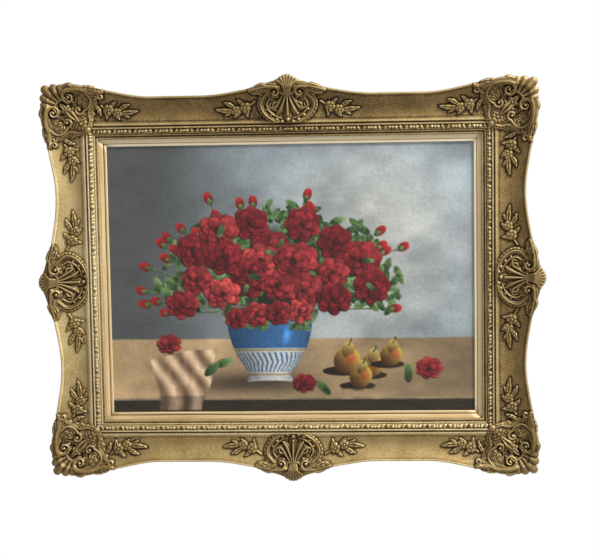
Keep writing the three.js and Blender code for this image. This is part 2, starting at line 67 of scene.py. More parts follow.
# Eased step from 0 to 1: 3 x squared less 2 x cubed
def smoothStep(x):
    return clamp01(x) ** 2 * (3 - 2 * clamp01(x))


# A bell curve: 1 in its middle and about a third at its width
def bell(x, width):
    return np.exp(-(x / width) ** 2)


# Channels of an sRGB hex colour, each over 255
def srgb(hexColour):
    return np.array([int(hexColour[i:i + 2], 16) / 255 for i in (1, 3, 5)])


# sRGB channels to linear ones: the sRGB curve undone
def linearRows(channels):
    return np.where(channels <= 0.04045, channels / 12.92, ((channels + 0.055) / 1.055) ** 2.4)


# A hex colour as a socket takes it, linear and opaque
def linear(hexColour):
    return (*linearRows(srgb(hexColour)), 1.0)


# Turn by yaw about Z, then pitch, then roll, which gives the camera's right, up and forward
def aimCamera():
    yaw, pitch, roll = (math.radians(cameraSet[k]) for k in ("yaw", "pitch", "roll"))
    right = np.array([math.cos(yaw), -math.sin(yaw), 0])
    ahead = np.array([math.sin(yaw), math.cos(yaw), 0])
    up = np.array([0, 0, 1])
    forward = math.cos(pitch) * ahead + math.sin(pitch) * up
    rise = math.cos(pitch) * up - math.sin(pitch) * ahead
    across = math.cos(roll) * right - math.sin(roll) * rise
    upward = math.sin(roll) * right + math.cos(roll) * rise
    data = bpy.data.cameras.new("camera")
    data.sensor_width = cameraSet["sensor"]
    data.lens = cameraSet["focalPixels"] / cameraSet["imageWidth"] * cameraSet["sensor"]
    camera = bpy.data.objects.new("camera", data)
    scene.collection.objects.link(camera)
    turned = np.eye(4)
    turned[:3, 0], turned[:3, 1], turned[:3, 2] = across, upward, -forward
    turned[:3, 3] = cameraSet["place"]
    camera.matrix_world = Matrix(turned.tolist())
    scene.camera = camera


# Three soft lamps turned to the picture, and a white backdrop
def lightRoom():
    for name, (place, size, watts) in roomSet["lights"].items():
        data = bpy.data.lights.new(name, "AREA")
        data.energy, data.size = watts, size
        lamp = bpy.data.objects.new(name, data)
        scene.collection.objects.link(lamp)
        towards = Vector(roomSet["aim"]) - Vector(place)
        aim = towards.to_track_quat("-Z", "Y").to_matrix().to_4x4()
        lamp.matrix_world = Matrix.Translation(place) @ aim
    world = bpy.data.worlds.new("room")
    scene.world = world
    world.use_nodes = True
    background = world.node_tree.nodes["Background"]
    background.inputs["Color"].default_value = linear(roomSet["worldColour"])
    # the backdrop is white to look at, but gives less light than it shows
    seen = addNode(world.node_tree, "ShaderNodeLightPath").outputs["Is Camera Ray"]
    settings = {"To Min": roomSet["worldLight"], "To Max": roomSet["worldSeen"]}
    strength = addNode(world.node_tree, "ShaderNodeMapRange", settings, {"Value": seen})
    world.node_tree.links.new(strength.outputs["Result"], background.inputs["Strength"])


# Matt white paper below the picture: no shine, so that only soft light comes up from it
def layFloor():
    material, _, shader = startMaterial("matt white floor")
    shader.inputs["Base Color"].default_value = linear(roomSet["floorColour"])
    shader.inputs["Roughness"].default_value = roomSet["floorRough"]
    reach, height = roomSet["floorSize"], roomSet["floorHeight"]
    corners = [(x * reach, y * reach, height) for x, y in ((-1, -1), (1, -1), (1, 1), (-1, 1))]
    mesh = bpy.data.meshes.new("floor")
    mesh.from_pydata(corners, [], [(0, 1, 2, 3)])
    mesh.materials.append(material)
    floor = bpy.data.objects.new("floor", mesh)
    scene.collection.objects.link(floor)


# Add one node: settings by property or socket name, links from other nodes' outputs, and for a ramp
# its stops from low to high, each a place and an sRGB hex colour
def addNode(tree, kind, settings=None, links=None, stops=()):
    node = tree.nodes.new(kind)
    for name, value in (settings or {}).items():
        if isinstance(name, str) and hasattr(node, name):
            setattr(node, name, value)
        else:
            node.inputs[name].default_value = value
    for name, source in (links or {}).items():
        tree.links.new(source, node.inputs[name])
    for i, (place, colour) in enumerate(stops):
        elements = node.color_ramp.elements
        element = elements[i] if i < len(elements) else elements.new(place)
        element.position = place
        element.color = linear(colour)
    return node


def startMaterial(name):
    material = bpy.data.materials.new(name)
    material.use_nodes = True
    tree = material.node_tree
    return material, tree, tree.nodes["Principled BSDF"]


# Antique gilding: bronze-gold paint over gesso, toned with umber and rubbed back. The eye gets
# a grainy olive gold, near black in the hollows and bright where hands have rubbed it
def antiqueGilding(name, look):
    material, tree, shader = startMaterial(name)
    place = addNode(tree, "ShaderNodeTexCoord").outputs["Object"]
    # relief: rubbed highs and umber hollows; on the rails also painted side light and painted shade round the
    # castings
    relief = addNode(tree, "ShaderNodeAttribute", {"attribute_name": "relief"}).outputs["Fac"]
    settings = {"Scale": 1000 / look["grainMm"], "Detail": 3, "Roughness": 0.75}
    grain = addNode(tree, "ShaderNodeTexNoise", settings, {"Vector": place}).outputs["Fac"]
    settings = {"Scale": 1000 / look["blotchMm"], "Detail": 4}
    blotch = addNode(tree, "ShaderNodeTexNoise", settings, {"Vector": place}).outputs["Fac"]
    settings = {"operation": "MULTIPLY_ADD", 1: look["reliefShare"], 2: look["middle"]}
    high = addNode(tree, "ShaderNodeMath", settings, {0: relief}).outputs[0]
    settings = {"operation": "MULTIPLY_ADD", 1: look["grainShare"]}
    withGrain = addNode(tree, "ShaderNodeMath", settings, {0: grain, 2: high}).outputs[0]
    settings = {"operation": "MULTIPLY_ADD", 1: look["blotchShare"]}
    tone = addNode(tree, "ShaderNodeMath", settings, {0: blotch, 2: withGrain}).outputs[0]
    colour = addNode(tree, "ShaderNodeValToRGB", links={"Fac": tone}, stops=look["tones"])
    tree.links.new(colour.outputs["Color"], shader.inputs["Base Color"])
    # what is toned bright, by rubbing and on the rails by painted side light, is also smoother
    settings = {"From Min": 0.2, "From Max": 0.9, "To Min": look["roughLow"], "To Max": look["roughHigh"]}
    rough = addNode(tree, "ShaderNodeMapRange", settings, {"Value": tone})
    tree.links.new(rough.outputs["Result"], shader.inputs["Roughness"])
    bump = addNode(tree, "ShaderNodeBump", {"Strength": look["bump"], "Distance": 0.0006}, {"Height": grain})
    tree.links.new(bump.outputs["Normal"], shader.inputs["Normal"])
    shader.inputs["Metallic"].default_value = look["metallic"]
    return material


# Pine: sawn softwood, pale yellow with darker bands along its length; wood has no metal in it
pineSet = {
    "across": (4, 180, 240), "upright": (240, 180, 4),  # bands to the metre along X, Y and Z
    "tones": [(0.3, "#8a6238"), (0.5, "#b98d58"), (0.72, "#d0aa76")], "bump": 0.3, "rough": 0.72,
}


def sawnPine(name, bands):
    material, tree, shader = startMaterial(name)
    place = addNode(tree, "ShaderNodeTexCoord").outputs["Object"]
    along = addNode(tree, "ShaderNodeMapping", {"Scale": bands}, {"Vector": place}).outputs["Vector"]
    settings = {"Scale": 1, "Detail": 5, "Roughness": 0.6, "Distortion": 0.4}
    grain = addNode(tree, "ShaderNodeTexNoise", settings, {"Vector": along}).outputs["Fac"]
    colour = addNode(tree, "ShaderNodeValToRGB", links={"Fac": grain}, stops=pineSet["tones"])
    tree.links.new(colour.outputs["Color"], shader.inputs["Base Color"])
    settings = {"Strength": pineSet["bump"], "Distance": 0.0004}
    bump = addNode(tree, "ShaderNodeBump", settings, {"Height": grain})
    tree.links.new(bump.outputs["Normal"], shader.inputs["Normal"])
    shader.inputs["Roughness"].default_value = pineSet["rough"]
    return material


# Pale leaf on the slip: cream-gold, with rubbed lines along its length that show the warm ground
def paleLeaf(name, look):
    material, tree, shader = startMaterial(name)
    place = addNode(tree, "ShaderNodeTexCoord").outputs["UV"]
    settings = {"Scale": look["lineScale"]}
    lines = addNode(tree, "ShaderNodeMapping", settings, {"Vector": place}).outputs["Vector"]
    settings = {"Scale": 1, "Detail": 4, "Roughness": 0.65}
    toneShift = addNode(tree, "ShaderNodeTexNoise", settings, {"Vector": lines}).outputs["Fac"]
    # relief holds the slip's own dark lines and its painted side light
    relief = addNode(tree, "ShaderNodeAttribute", {"attribute_name": "relief"}).outputs["Fac"]
    settings = {"operation": "MULTIPLY_ADD", 1: look["reliefShare"]}
    tone = addNode(tree, "ShaderNodeMath", settings, {0: relief, 2: toneShift}).outputs[0]
    colour = addNode(tree, "ShaderNodeValToRGB", links={"Fac": tone}, stops=look["tones"])
    tree.links.new(colour.outputs["Color"], shader.inputs["Base Color"])
    bump = addNode(tree, "ShaderNodeBump", {"Strength": look["bump"], "Distance": 0.0003}, {"Height": toneShift})
    tree.links.new(bump.outputs["Normal"], shader.inputs["Normal"])
    shader.inputs["Roughness"].default_value = look["rough"]
    shader.inputs["Metallic"].default_value = look["metallic"]
    return material


# Woven threads under paint or bare: two waves at right angles. A wave texture of scale 1 repeats
# each 0.314 m, so its scale is that over the spacing
def addWeave(tree, place, spacingMm):
    waves = []
    for direction in ("X", "Z"):
        settings = {"bands_direction": direction, "Scale": 0.314 * 1000 / spacingMm, "Distortion": 0.6}
        waves.append(addNode(tree, "ShaderNodeTexWave", settings, {"Vector": place}).outputs["Fac"])
    return addNode(tree, "ShaderNodeMath", {"operation": "ADD"}, {0: waves[0], 1: waves[1]}).outputs[0]


# Oil paint on primed linen, with a thin satin varnish: soft shine, low brush marks and a faint weave
def oilPaint(name, look):
    material, tree, shader = startMaterial(name)
    place = addNode(tree, "ShaderNodeTexCoord").outputs["Object"]
    paint = addNode(tree, "ShaderNodeAttribute", {"attribute_name": "paint"}).outputs["Color"]
    settings = {"Scale": 1000 / look["strokeMm"], "Detail": 4, "Distortion": 1.5}
    stroke = addNode(tree, "ShaderNodeTexNoise", settings, {"Vector": place}).outputs["Fac"]
    settings = {"To Min": look["strokeDark"], "To Max": look["strokeLight"]}
    light = addNode(tree, "ShaderNodeMapRange", settings, {"Value": stroke}).outputs["Result"]
    settings = {"data_type": "RGBA", "blend_type": "MULTIPLY", 0: 1.0}
    colour = addNode(tree, "ShaderNodeMix", settings, {6: paint, 7: light}).outputs[2]
    tree.links.new(colour, shader.inputs["Base Color"])
    weave = addWeave(tree, place, look["weaveMm"])
    settings = {"operation": "MULTIPLY_ADD", 1: look["weaveShare"]}
    height = addNode(tree, "ShaderNodeMath", settings, {0: weave, 2: stroke}).outputs[0]
    bump = addNode(tree, "ShaderNodeBump", {"Strength": look["bump"], "Distance": 0.0004}, {"Height": height})
    tree.links.new(bump.outputs["Normal"], shader.inputs["Normal"])
    shader.inputs["Roughness"].default_value = look["rough"]
    return material


# Raw linen on the back of the canvas: flat brown-grey thread, no shine
def rawLinen(name, look):
    material, tree, shader = startMaterial(name)
    place = addNode(tree, "ShaderNodeTexCoord").outputs["Object"]
    weave = addWeave(tree, place, look["threadMm"])
    settings = {"Scale": 1000 / look["slubMm"], "Detail": 4}
    slub = addNode(tree, "ShaderNodeTexNoise", settings, {"Vector": place}).outputs["Fac"]
    settings = {"operation": "MULTIPLY_ADD", 1: look["weaveShare"]}
    tone = addNode(tree, "ShaderNodeMath", settings, {0: weave, 2: slub}).outputs[0]
    colour = addNode(tree, "ShaderNodeValToRGB", links={"Fac": tone}, stops=look["tones"])
    tree.links.new(colour.outputs["Color"], shader.inputs["Base Color"])
    bump = addNode(tree, "ShaderNodeBump", {"Strength": look["bump"], "Distance": 0.0004}, {"Height": weave})
    tree.links.new(bump.outputs["Normal"], shader.inputs["Normal"])
    shader.inputs["Roughness"].default_value = look["rough"]
    return material


# A mesh from points in mm and quads, turned so that its faces point outwards. The signed volume is
# the sum of a . (b x c) over its triangles
def buildPiece(name, points, quads, materials, caps=(), values=None, uv=None, faceMaterials=None,
               colours=None):
    a, b, c, d = (points[quads[:, i]] for i in range(4))
    volume = np.einsum("ij,ij->", a, np.cross(b, c)) + np.einsum("ij,ij->", a, np.cross(c, d))
    if volume < 0:
        quads = quads[:, ::-1]
        caps = [cap[::-1] for cap in caps]
    faces = quads.tolist() + [list(map(int, cap)) for cap in caps]
    mesh = bpy.data.meshes.new(name)
    mesh.from_pydata((points * 0.001).tolist(), [], faces)
    for material in materials:
        mesh.materials.append(material)
    if faceMaterials is not None:
        slots = np.concatenate([faceMaterials, np.ones(len(caps))]).astype(int)
        mesh.polygons.foreach_set("material_index", slots)
    mesh.polygons.foreach_set("use_smooth", np.r_[np.ones(len(quads), bool), np.zeros(len(caps), bool)])
    if values is not None:
        attribute = mesh.attributes.new("relief", "FLOAT", "POINT")
        attribute.data.foreach_set("value", values.astype(np.float32))
    if colours is not None:
        attribute = mesh.attributes.new("paint", "FLOAT_COLOR", "POINT")
        attribute.data.foreach_set("color", colours.astype(np.float32).ravel())
    if uv is not None:
        corners = np.empty(len(mesh.loops), int)
        mesh.loops.foreach_get("vertex_index", corners)
        run = (uv[corners] * 0.001).astype(np.float32)
        mesh.uv_layers.new(name="run").data.foreach_set("uv", run.ravel())
    mesh.update()
    piece = bpy.data.objects.new(name, mesh)
    scene.collection.objects.link(piece)
    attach(piece, "root")
    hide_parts(name)
    return piece


# Quads of a grid of rows by columns; wrapped joins the last column to the first
def gridQuads(rows, columns, wrapped=False):
    i = np.arange(rows - 1)[:, None]
    j = np.arange(columns if wrapped else columns - 1)[None, :]
    right = (j + 1) % columns
    corners = [i * columns + j, i * columns + right, (i + 1) * columns + right, (i + 1) * columns + j]
    return np.stack([np.broadcast_to(c, (rows - 1, j.shape[1])) for c in corners], -1).reshape(-1, 4)


# The frame's own sizes in mm, the same as in the solids
sizes = {
    "sightX": 393, "sightZ": 289.5, "centreZ": -334.5, "gap": 0.3,
    "railLipStart": 16, "rebateWall": 24.4, "railLipBack": 38.7, "coveStart": 46, "coveStartDepth": 47.7,
    "mouldingCrest": 49.4, "topWaist": 106, "sideWaist": 109, "crestRise": 22, "crestReach": 185,
    "cornerWidth": 129, "cornerStart": 102, "cornerFull": 58, "cornerDrop": 11, "rimDepth": 60,
    "rimRise": 4, "rimBead": 5, "coveSag": 9, "sideTaper": 14, "browClearance": 1.5, "browRamp": 6,
    # across the mouldings: out from the rail's lip, height over it
    "mouldings": [
        (0, 2.8), (1, 4), (3.4, 4), (3.9, 2.9), (6.8, 3.3), (7.2, 6), (9.4, 6.3), (10, 5.6), (12, 8.2),
        (16, 9.8), (20, 9.4), (21.4, 8), (22, 10.2), (25, 10.7), (25.7, 7), (28.8, 7), (29.3, 8.8), (30, 9),
    ],
}
sides = [
    # name, quarter turns, half the sight edge, from the middle to the sight edge, waist
    ("top", 0, sizes["sightX"], sizes["sightZ"], sizes["topWaist"]),
    ("right", 1, sizes["sightZ"], sizes["sightX"], sizes["sideWaist"]),
    ("bottom", 2, sizes["sightX"], sizes["sightZ"], sizes["topWaist"]),
    ("left", 3, sizes["sightZ"], sizes["sightX"], sizes["sideWaist"]),
]


# Outer edge of a rail: waist, plus a squared cosine at its middle, plus a swell at its corners
def rimWidth(half, waist, s):
    past = np.abs(s) - half
    reach = sizes["crestReach"]
    crest = np.where(np.abs(s) < reach, sizes["crestRise"] * np.cos(np.pi * s / (2 * reach)) ** 2, 0)
    swell = smoothStep((past + sizes["cornerStart"]) / (sizes["cornerStart"] + sizes["cornerFull"]))
    full = sizes["cornerWidth"] - sizes["cornerDrop"] - sizes["cornerFull"]
    turn = sizes["cornerDrop"] * (np.maximum(past - sizes["cornerFull"], 0) / full) ** 2
    return waist + crest + (sizes["cornerWidth"] - waist) * swell - turn


# Height of the rim: it rises evenly with how far the edge stands past the waist
def rimTop(half, waist, s):
    return sizes["rimDepth"] + sizes["rimRise"] * (rimWidth(half, waist, s) - waist) / sizes["crestRise"]


# Cove: a straight rise to the rim less a parabola
def coveDepth(half, waist, s, t):
    start = sizes["coveStart"]
    f = (t - start) / (rimWidth(half, waist, s) - sizes["rimBead"] - start)
    end = rimTop(half, waist, s) - sizes["rimBead"] / 2
    rise = (end - sizes["coveStartDepth"]) * f
    return sizes["coveStartDepth"] + rise - sizes["coveSag"] * 4 * f * (1 - f)


# What a casting lies on: the cove, raised in a ramp to the top of the rim bead
def bedDepth(half, waist, s, t):
    rim = rimWidth(half, waist, s)
    brow = rim - sizes["rimBead"] - sizes["browClearance"]
    ramp = clamp01((t - brow) / sizes["browRamp"] + 1)
    cove = coveDepth(half, waist, s, np.minimum(t, rim - sizes["rimBead"]))
    bed = cove * (1 - ramp) + rimTop(half, waist, s) * ramp
    return np.where(t < sizes["coveStart"] + 1, sizes["mouldingCrest"], bed)


# Rail place (along, depth, out) to the row frame: quarter turns about Y, then down to the picture
def onRail(quarter, away, s, depth, t):
    turn = quarter * math.pi / 2
    x = s * math.cos(turn) + (t + away) * math.sin(turn)
    z = (t + away) * math.cos(turn) - s * math.sin(turn) + sizes["centreZ"]
    return np.stack([x, -depth * np.ones_like(x), z], -1)


# Place of each point of a section for a UV map: along the piece, and round the section from its start
def runOf(s, t, depth):
    steps = np.hypot(np.diff(t, axis=1, prepend=t[:, :1]), np.diff(depth, axis=1, prepend=depth[:, :1]))
    return np.stack([s, np.cumsum(steps, axis=1)], -1).reshape(-1, 2)


# Rails: mouldings with a pressed band, a cove and a rim bead
railSet = {
    "alongStep": 2.2, "outStep": 0.75, "coveRows": 28, "beadRows": 9,
    "mouldingWidth": 30, "stepSoftness": (0.15, 0.7, 0.15),  # shares of the neighbours that round a step
    "pastSight": 60, "mitreRounds": 14,
    "bandStart": 27.5, "bandWidth": 10, "bandPeriod": 44.5, "bandFade": 0.1,
    "notchWidth": 10, "notchDepth": 1.7, "edgeEase": 1.4,
    "tipPlace": 3.4, "tipWidth": 1.6, "tipRise": 1.1,
    "nickPlace": 12, "nickWidth": 2.6, "nickFoot": 0.8, "nickDepth": 1.3,
    "pearlRadius": 2.9, "pearlRise": 1.6, "pearlSpacing": 6, "pearlGapWidth": 1,
    # relief is what the toning follows: above 0 is rubbed bright, below 0 keeps its umber; it also carries
    # painted side light for each rail and painted shade round the castings
    "tone": {
        "window": 7, "stepDepth": 1.1, "lowest": -1, "highest": 0.62, "band": 0.25, "bandLowest": -1.5,
        "coveFoot": (0.1, 0.08, 0.12), "coveBrow": (1, 0.05, -0.3),  # place across the cove, width, tone
        "bead": 0.7, "beadFoot": -0.15, "side": -0.3,
    },
    # painted contact shade and umber round the castings: how dark, and how far it reaches in mm
    "umberAndShade": 1.0, "umberAndShadeReach": 2.7,
    # painted side light: how much lighter (above 0) or darker each rail is toned for the way the key light
    # falls on its side, most in its middle
    "toneShift": {"top": -0.34, "right": -0.14, "bottom": 0.2, "left": 0.56}, "sideLightLessAtEnds": 0.6,
    "look": {
        "grainMm": 2.4, "blotchMm": 46, "reliefShare": 0.4, "middle": -0.02, "grainShare": 0.8,
        "blotchShare": 0.3, "roughLow": 0.6, "roughHigh": 0.42, "bump": 0.35, "metallic": 0.4,
        "tones": [(0.1, "#1c1206"), (0.3, "#4e391b"), (0.5, "#987c49"), (0.68, "#bda46c"), (0.95, "#ecdcb2")],
    },
}


# Pressed band, u from the middle of a repeat and v across: a notch that opens outwards at each end, a
# raised leaf tip beside it, a nick, and three pearls in the middle
def bandRelief(s, t):
    period = railSet["bandPeriod"]
    u = np.abs((s + period / 2) % period - period / 2)
    v = (t - railSet["bandStart"]) / railSet["bandWidth"]
    inside = smoothStep(v / railSet["bandFade"]) * smoothStep((1 - v) / railSet["bandFade"])
    fromNotch = period / 2 - u - railSet["notchWidth"] / 2 * clamp01(v)
    notch = -railSet["notchDepth"] * smoothStep(1 - fromNotch / railSet["edgeEase"])
    tip = railSet["tipRise"] * bell(fromNotch - railSet["tipPlace"], railSet["tipWidth"])
    nickHalf = railSet["nickWidth"] * clamp01(v) + railSet["nickFoot"]
    nickEdge = (nickHalf - np.abs(u - railSet["nickPlace"])) / railSet["edgeEase"]
    nick = -railSet["nickDepth"] * smoothStep(nickEdge)
    pearls = 0
    for step in (0, 1):
        reach = np.hypot(u - step * railSet["pearlSpacing"], (v - 0.5) * railSet["bandWidth"])
        dome = np.sqrt(np.maximum(1 - (reach / railSet["pearlRadius"]) ** 2, 0))
        pearls = np.maximum(pearls, railSet["pearlRise"] * dome)
    between = -railSet["nickDepth"] * bell(u - railSet["pearlRadius"], railSet["pearlGapWidth"])
    return inside * (notch + tip + nick + pearls + between)


# A rail is a closed section carried along it. Each point of the section runs out to its own mitre, at
# s = half + t; the outer points follow the swept edge at s, so s and t are found in a few rounds
def buildRail(name, quarter, half, away, waist, gilding, pine):
    out = np.arange(0, railSet["mouldingWidth"] + 0.01, railSet["outStep"])
    rise = np.interp(out, *np.transpose(sizes["mouldings"]))
    rise = np.convolve(np.pad(rise, 1, "edge"), railSet["stepSoftness"], "valid")
    coveShare = np.linspace(0, 1, railSet["coveRows"] + 1)[1:]
    beadTurn = np.linspace(0, math.pi, railSet["beadRows"])
    flatCount, coveCount, beadCount = len(out) + 2, len(coveShare), len(beadTurn)
    moulding = slice(2, flatCount)
    cove = slice(flatCount, flatCount + coveCount)
    bead = slice(flatCount + coveCount, flatCount + coveCount + beadCount)
    count = flatCount + coveCount + beadCount + 3
    columns = int(2 * (half + railSet["pastSight"]) / railSet["alongStep"])
    u = np.linspace(-1, 1, columns)[:, None] * np.ones((1, count))
    t = np.full((columns, count), float(railSet["pastSight"]))
    for _ in range(railSet["mitreRounds"]):
        s = u * (half + t - sizes["gap"] / math.sqrt(2))
        rim = rimWidth(half, waist, s)
        inner = rim - sizes["rimBead"]
        t[:, :2] = [sizes["rebateWall"], sizes["railLipStart"]]
        t[:, moulding] = sizes["railLipStart"] + out
        t[:, cove] = sizes["coveStart"] + (inner[:, cove] - sizes["coveStart"]) * coveShare
        t[:, bead] = rim[:, bead] - sizes["rimBead"] * (0.5 + 0.5 * np.cos(beadTurn))
        t[:, -3] = rim[:, -3] - 0.05 * sizes["sideTaper"]
        t[:, -2] = rim[:, -2] - sizes["sideTaper"]
        t[:, -1] = sizes["rebateWall"]
    depth = np.zeros_like(t)
    depth[:, :2] = sizes["railLipBack"]
    band = bandRelief(s[:, moulding], t[:, moulding])
    depth[:, moulding] = sizes["railLipBack"] + rise + band
    depth[:, cove] = coveDepth(half, waist, s[:, cove], t[:, cove])
    top = rimTop(half, waist, s)
    depth[:, bead] = top[:, bead] - sizes["rimBead"] / 2 * (1 - np.sin(beadTurn))
    depth[:, -3] = top[:, -3] - sizes["rimBead"] * 0.8

    # steps that stand over the mean of their neighbours are rubbed, those below it are dark
    tone = railSet["tone"]
    relief = np.zeros_like(t)
    stepped = slice(2, flatCount + 4)
    window = tone["window"]
    padded = np.pad(depth[:, stepped], ((0, 0), (window // 2, window // 2)), "edge")
    level = sum(padded[:, i:i + flatCount + 2] for i in range(window)) / window
    overLevel = (depth[:, stepped] - level) / tone["stepDepth"]
    relief[:, stepped] = np.clip(overLevel, tone["lowest"], tone["highest"])
    relief[:, moulding] += tone["band"] * np.clip(band, tone["bandLowest"], 1)
    for place, width, shift in (tone["coveFoot"], tone["coveBrow"]):
        relief[:, cove] += shift * bell(coveShare - place, width)
    relief[:, bead] = tone["bead"] * np.sin(beadTurn) + tone["beadFoot"]
    relief[:, -3:] = tone["side"]
    hollow = slice(flatCount, -3)
    # painted contact shade and umber, darker where the rail meets the castings
    relief[:, hollow] -= railSet["umberAndShade"] * umberAndShadeRound(half, waist, s[:, hollow], t[:, hollow])
    # painted side light: each rail toned lighter or darker as a whole, less so towards its ends
    atEnds = smoothStep(np.abs(s) / (half + railSet["pastSight"]))
    relief += railSet["toneShift"][name.split("_")[1]] * (1 - railSet["sideLightLessAtEnds"] * atEnds)

    points = onRail(quarter, away, s, depth, t).reshape(-1, 3)
    quads = gridQuads(columns, count, wrapped=True)
    onBack = np.isin(quads[:, 0] % count, (0, count - 2, count - 1)).astype(int)
    caps = [np.arange(count)[::-1], (columns - 1) * count + np.arange(count)]
    run = runOf(s, t, depth)
    return buildPiece(name, points, quads, [gilding, pine], caps, relief.ravel(), run, onBack)


# Slip: a plain liner with a lip over the canvas
slipSet = {
    "section": [
        (0, 31.4), (0, 34), (0.4, 35), (1.4, 35.4), (4.8, 35.2), (5.6, 34.8), (6, 34.2), (6.6, 34.3),
        (7, 35.6), (8, 36.1), (14.6, 38.3), (15.2, 38.4), (23.9, 38.4), (23.9, 14), (7.6, 14), (7.6, 31.4),
    ],
    "relief": [0, 0.1, 0.3, 0.45, 0.2, -0.3, -1.2, -1.2, -0.3, 0.1, 0.1, 0, 0, -0.6, -0.6, -0.4],
    # painted side light: each slip toned lighter or darker for the way the light falls on its side
    "paintedSideLight": {"top": 0.35, "right": 0.1, "bottom": -0.4, "left": -0.3},
    "columns": 41,
    "look": {
        "lineScale": (6, 900, 1), "reliefShare": 0.35, "bump": 0.25, "rough": 0.52, "metallic": 0.25,
        "tones": [(0.1, "#6d5030"), (0.3, "#c09e66"), (0.48, "#e9ce9c"), (0.62, "#f3e0b8"), (0.9, "#fbf0dc")],
    },
}


# The section (out, depth) carried straight from mitre to mitre, at s = half + t
def buildSlip(name, quarter, half, away, leaf):
    section = np.array(slipSet["section"])
    count, columns = len(section), slipSet["columns"]
    u = np.linspace(-1, 1, columns)[:, None]
    t, depth = section[None, :, 0] + 0 * u, section[None, :, 1] + 0 * u
    s = u * (half + t - sizes["gap"] / math.sqrt(2))
    points = onRail(quarter, away, s, depth, t).reshape(-1, 3)
    caps = [np.arange(count)[::-1], (columns - 1) * count + np.arange(count)]
    # the slip's own tones, plus painted side light for its side
    relief = np.tile(slipSet["relief"], columns) + slipSet["paintedSideLight"][name.split("_")[1]]
    quads = gridQuads(columns, count, wrapped=True)
    return buildPiece(name, points, quads, [leaf], caps, relief, runOf(s, t, depth))


# A curve through its points: each stretch is a cubic that takes its slopes from the points beside it
def smoothPath(points, count=90):
    p = np.array(points, float)
    p = np.vstack([2 * p[0] - p[1], p, 2 * p[-1] - p[-2]])
    place = np.linspace(0, len(p) - 3, count)
    i = np.minimum(place.astype(int), len(p) - 4)
    f = (place - i)[:, None]
    a, b, c, d = p[i], p[i + 1], p[i + 2], p[i + 3]
    square, cube = 2 * a - 5 * b + 4 * c - d, 3 * b - a - 3 * c + d
    return 0.5 * (2 * b + (c - a) * f + square * f ** 2 + cube * f ** 3)


# A volute: radius grows evenly with angle, from its eye outwards
def volutePoints(eye, radii, angles, steps=14):
    share = np.linspace(0, 1, steps)
    angle = np.radians(angles[0] + (angles[1] - angles[0]) * share)
    radius = radii[0] + (radii[1] - radii[0]) * share
    return np.stack([eye[0] + radius * np.cos(angle), eye[1] + radius * np.sin(angle)], -1)


# Places of a casting's plane: a square grid over its spans
def planeGrid(forms):
    lines = [np.arange(low, high, forms["step"]) for low, high in forms["spans"]]
    return np.meshgrid(*lines, indexing="ij")


# What the details of a form take of its own width or height
formSet = {
    "channelAt": 0.5, "channelWidth": 0.2, "notch": 0.12,
    "lobe": 0.2, "vein": 0.14, "ribWidth": 0.16,
    "petalWave": 0.2, "cleft": 0.4, "cleftWidth": 0.22,
    "innerRing": 0.56, "innerHeight": 0.867, "innerCleft": 0.35, "innerCleftWidth": 0.25,
    "button": 0.2, "buttonHeight": 1.1,
}


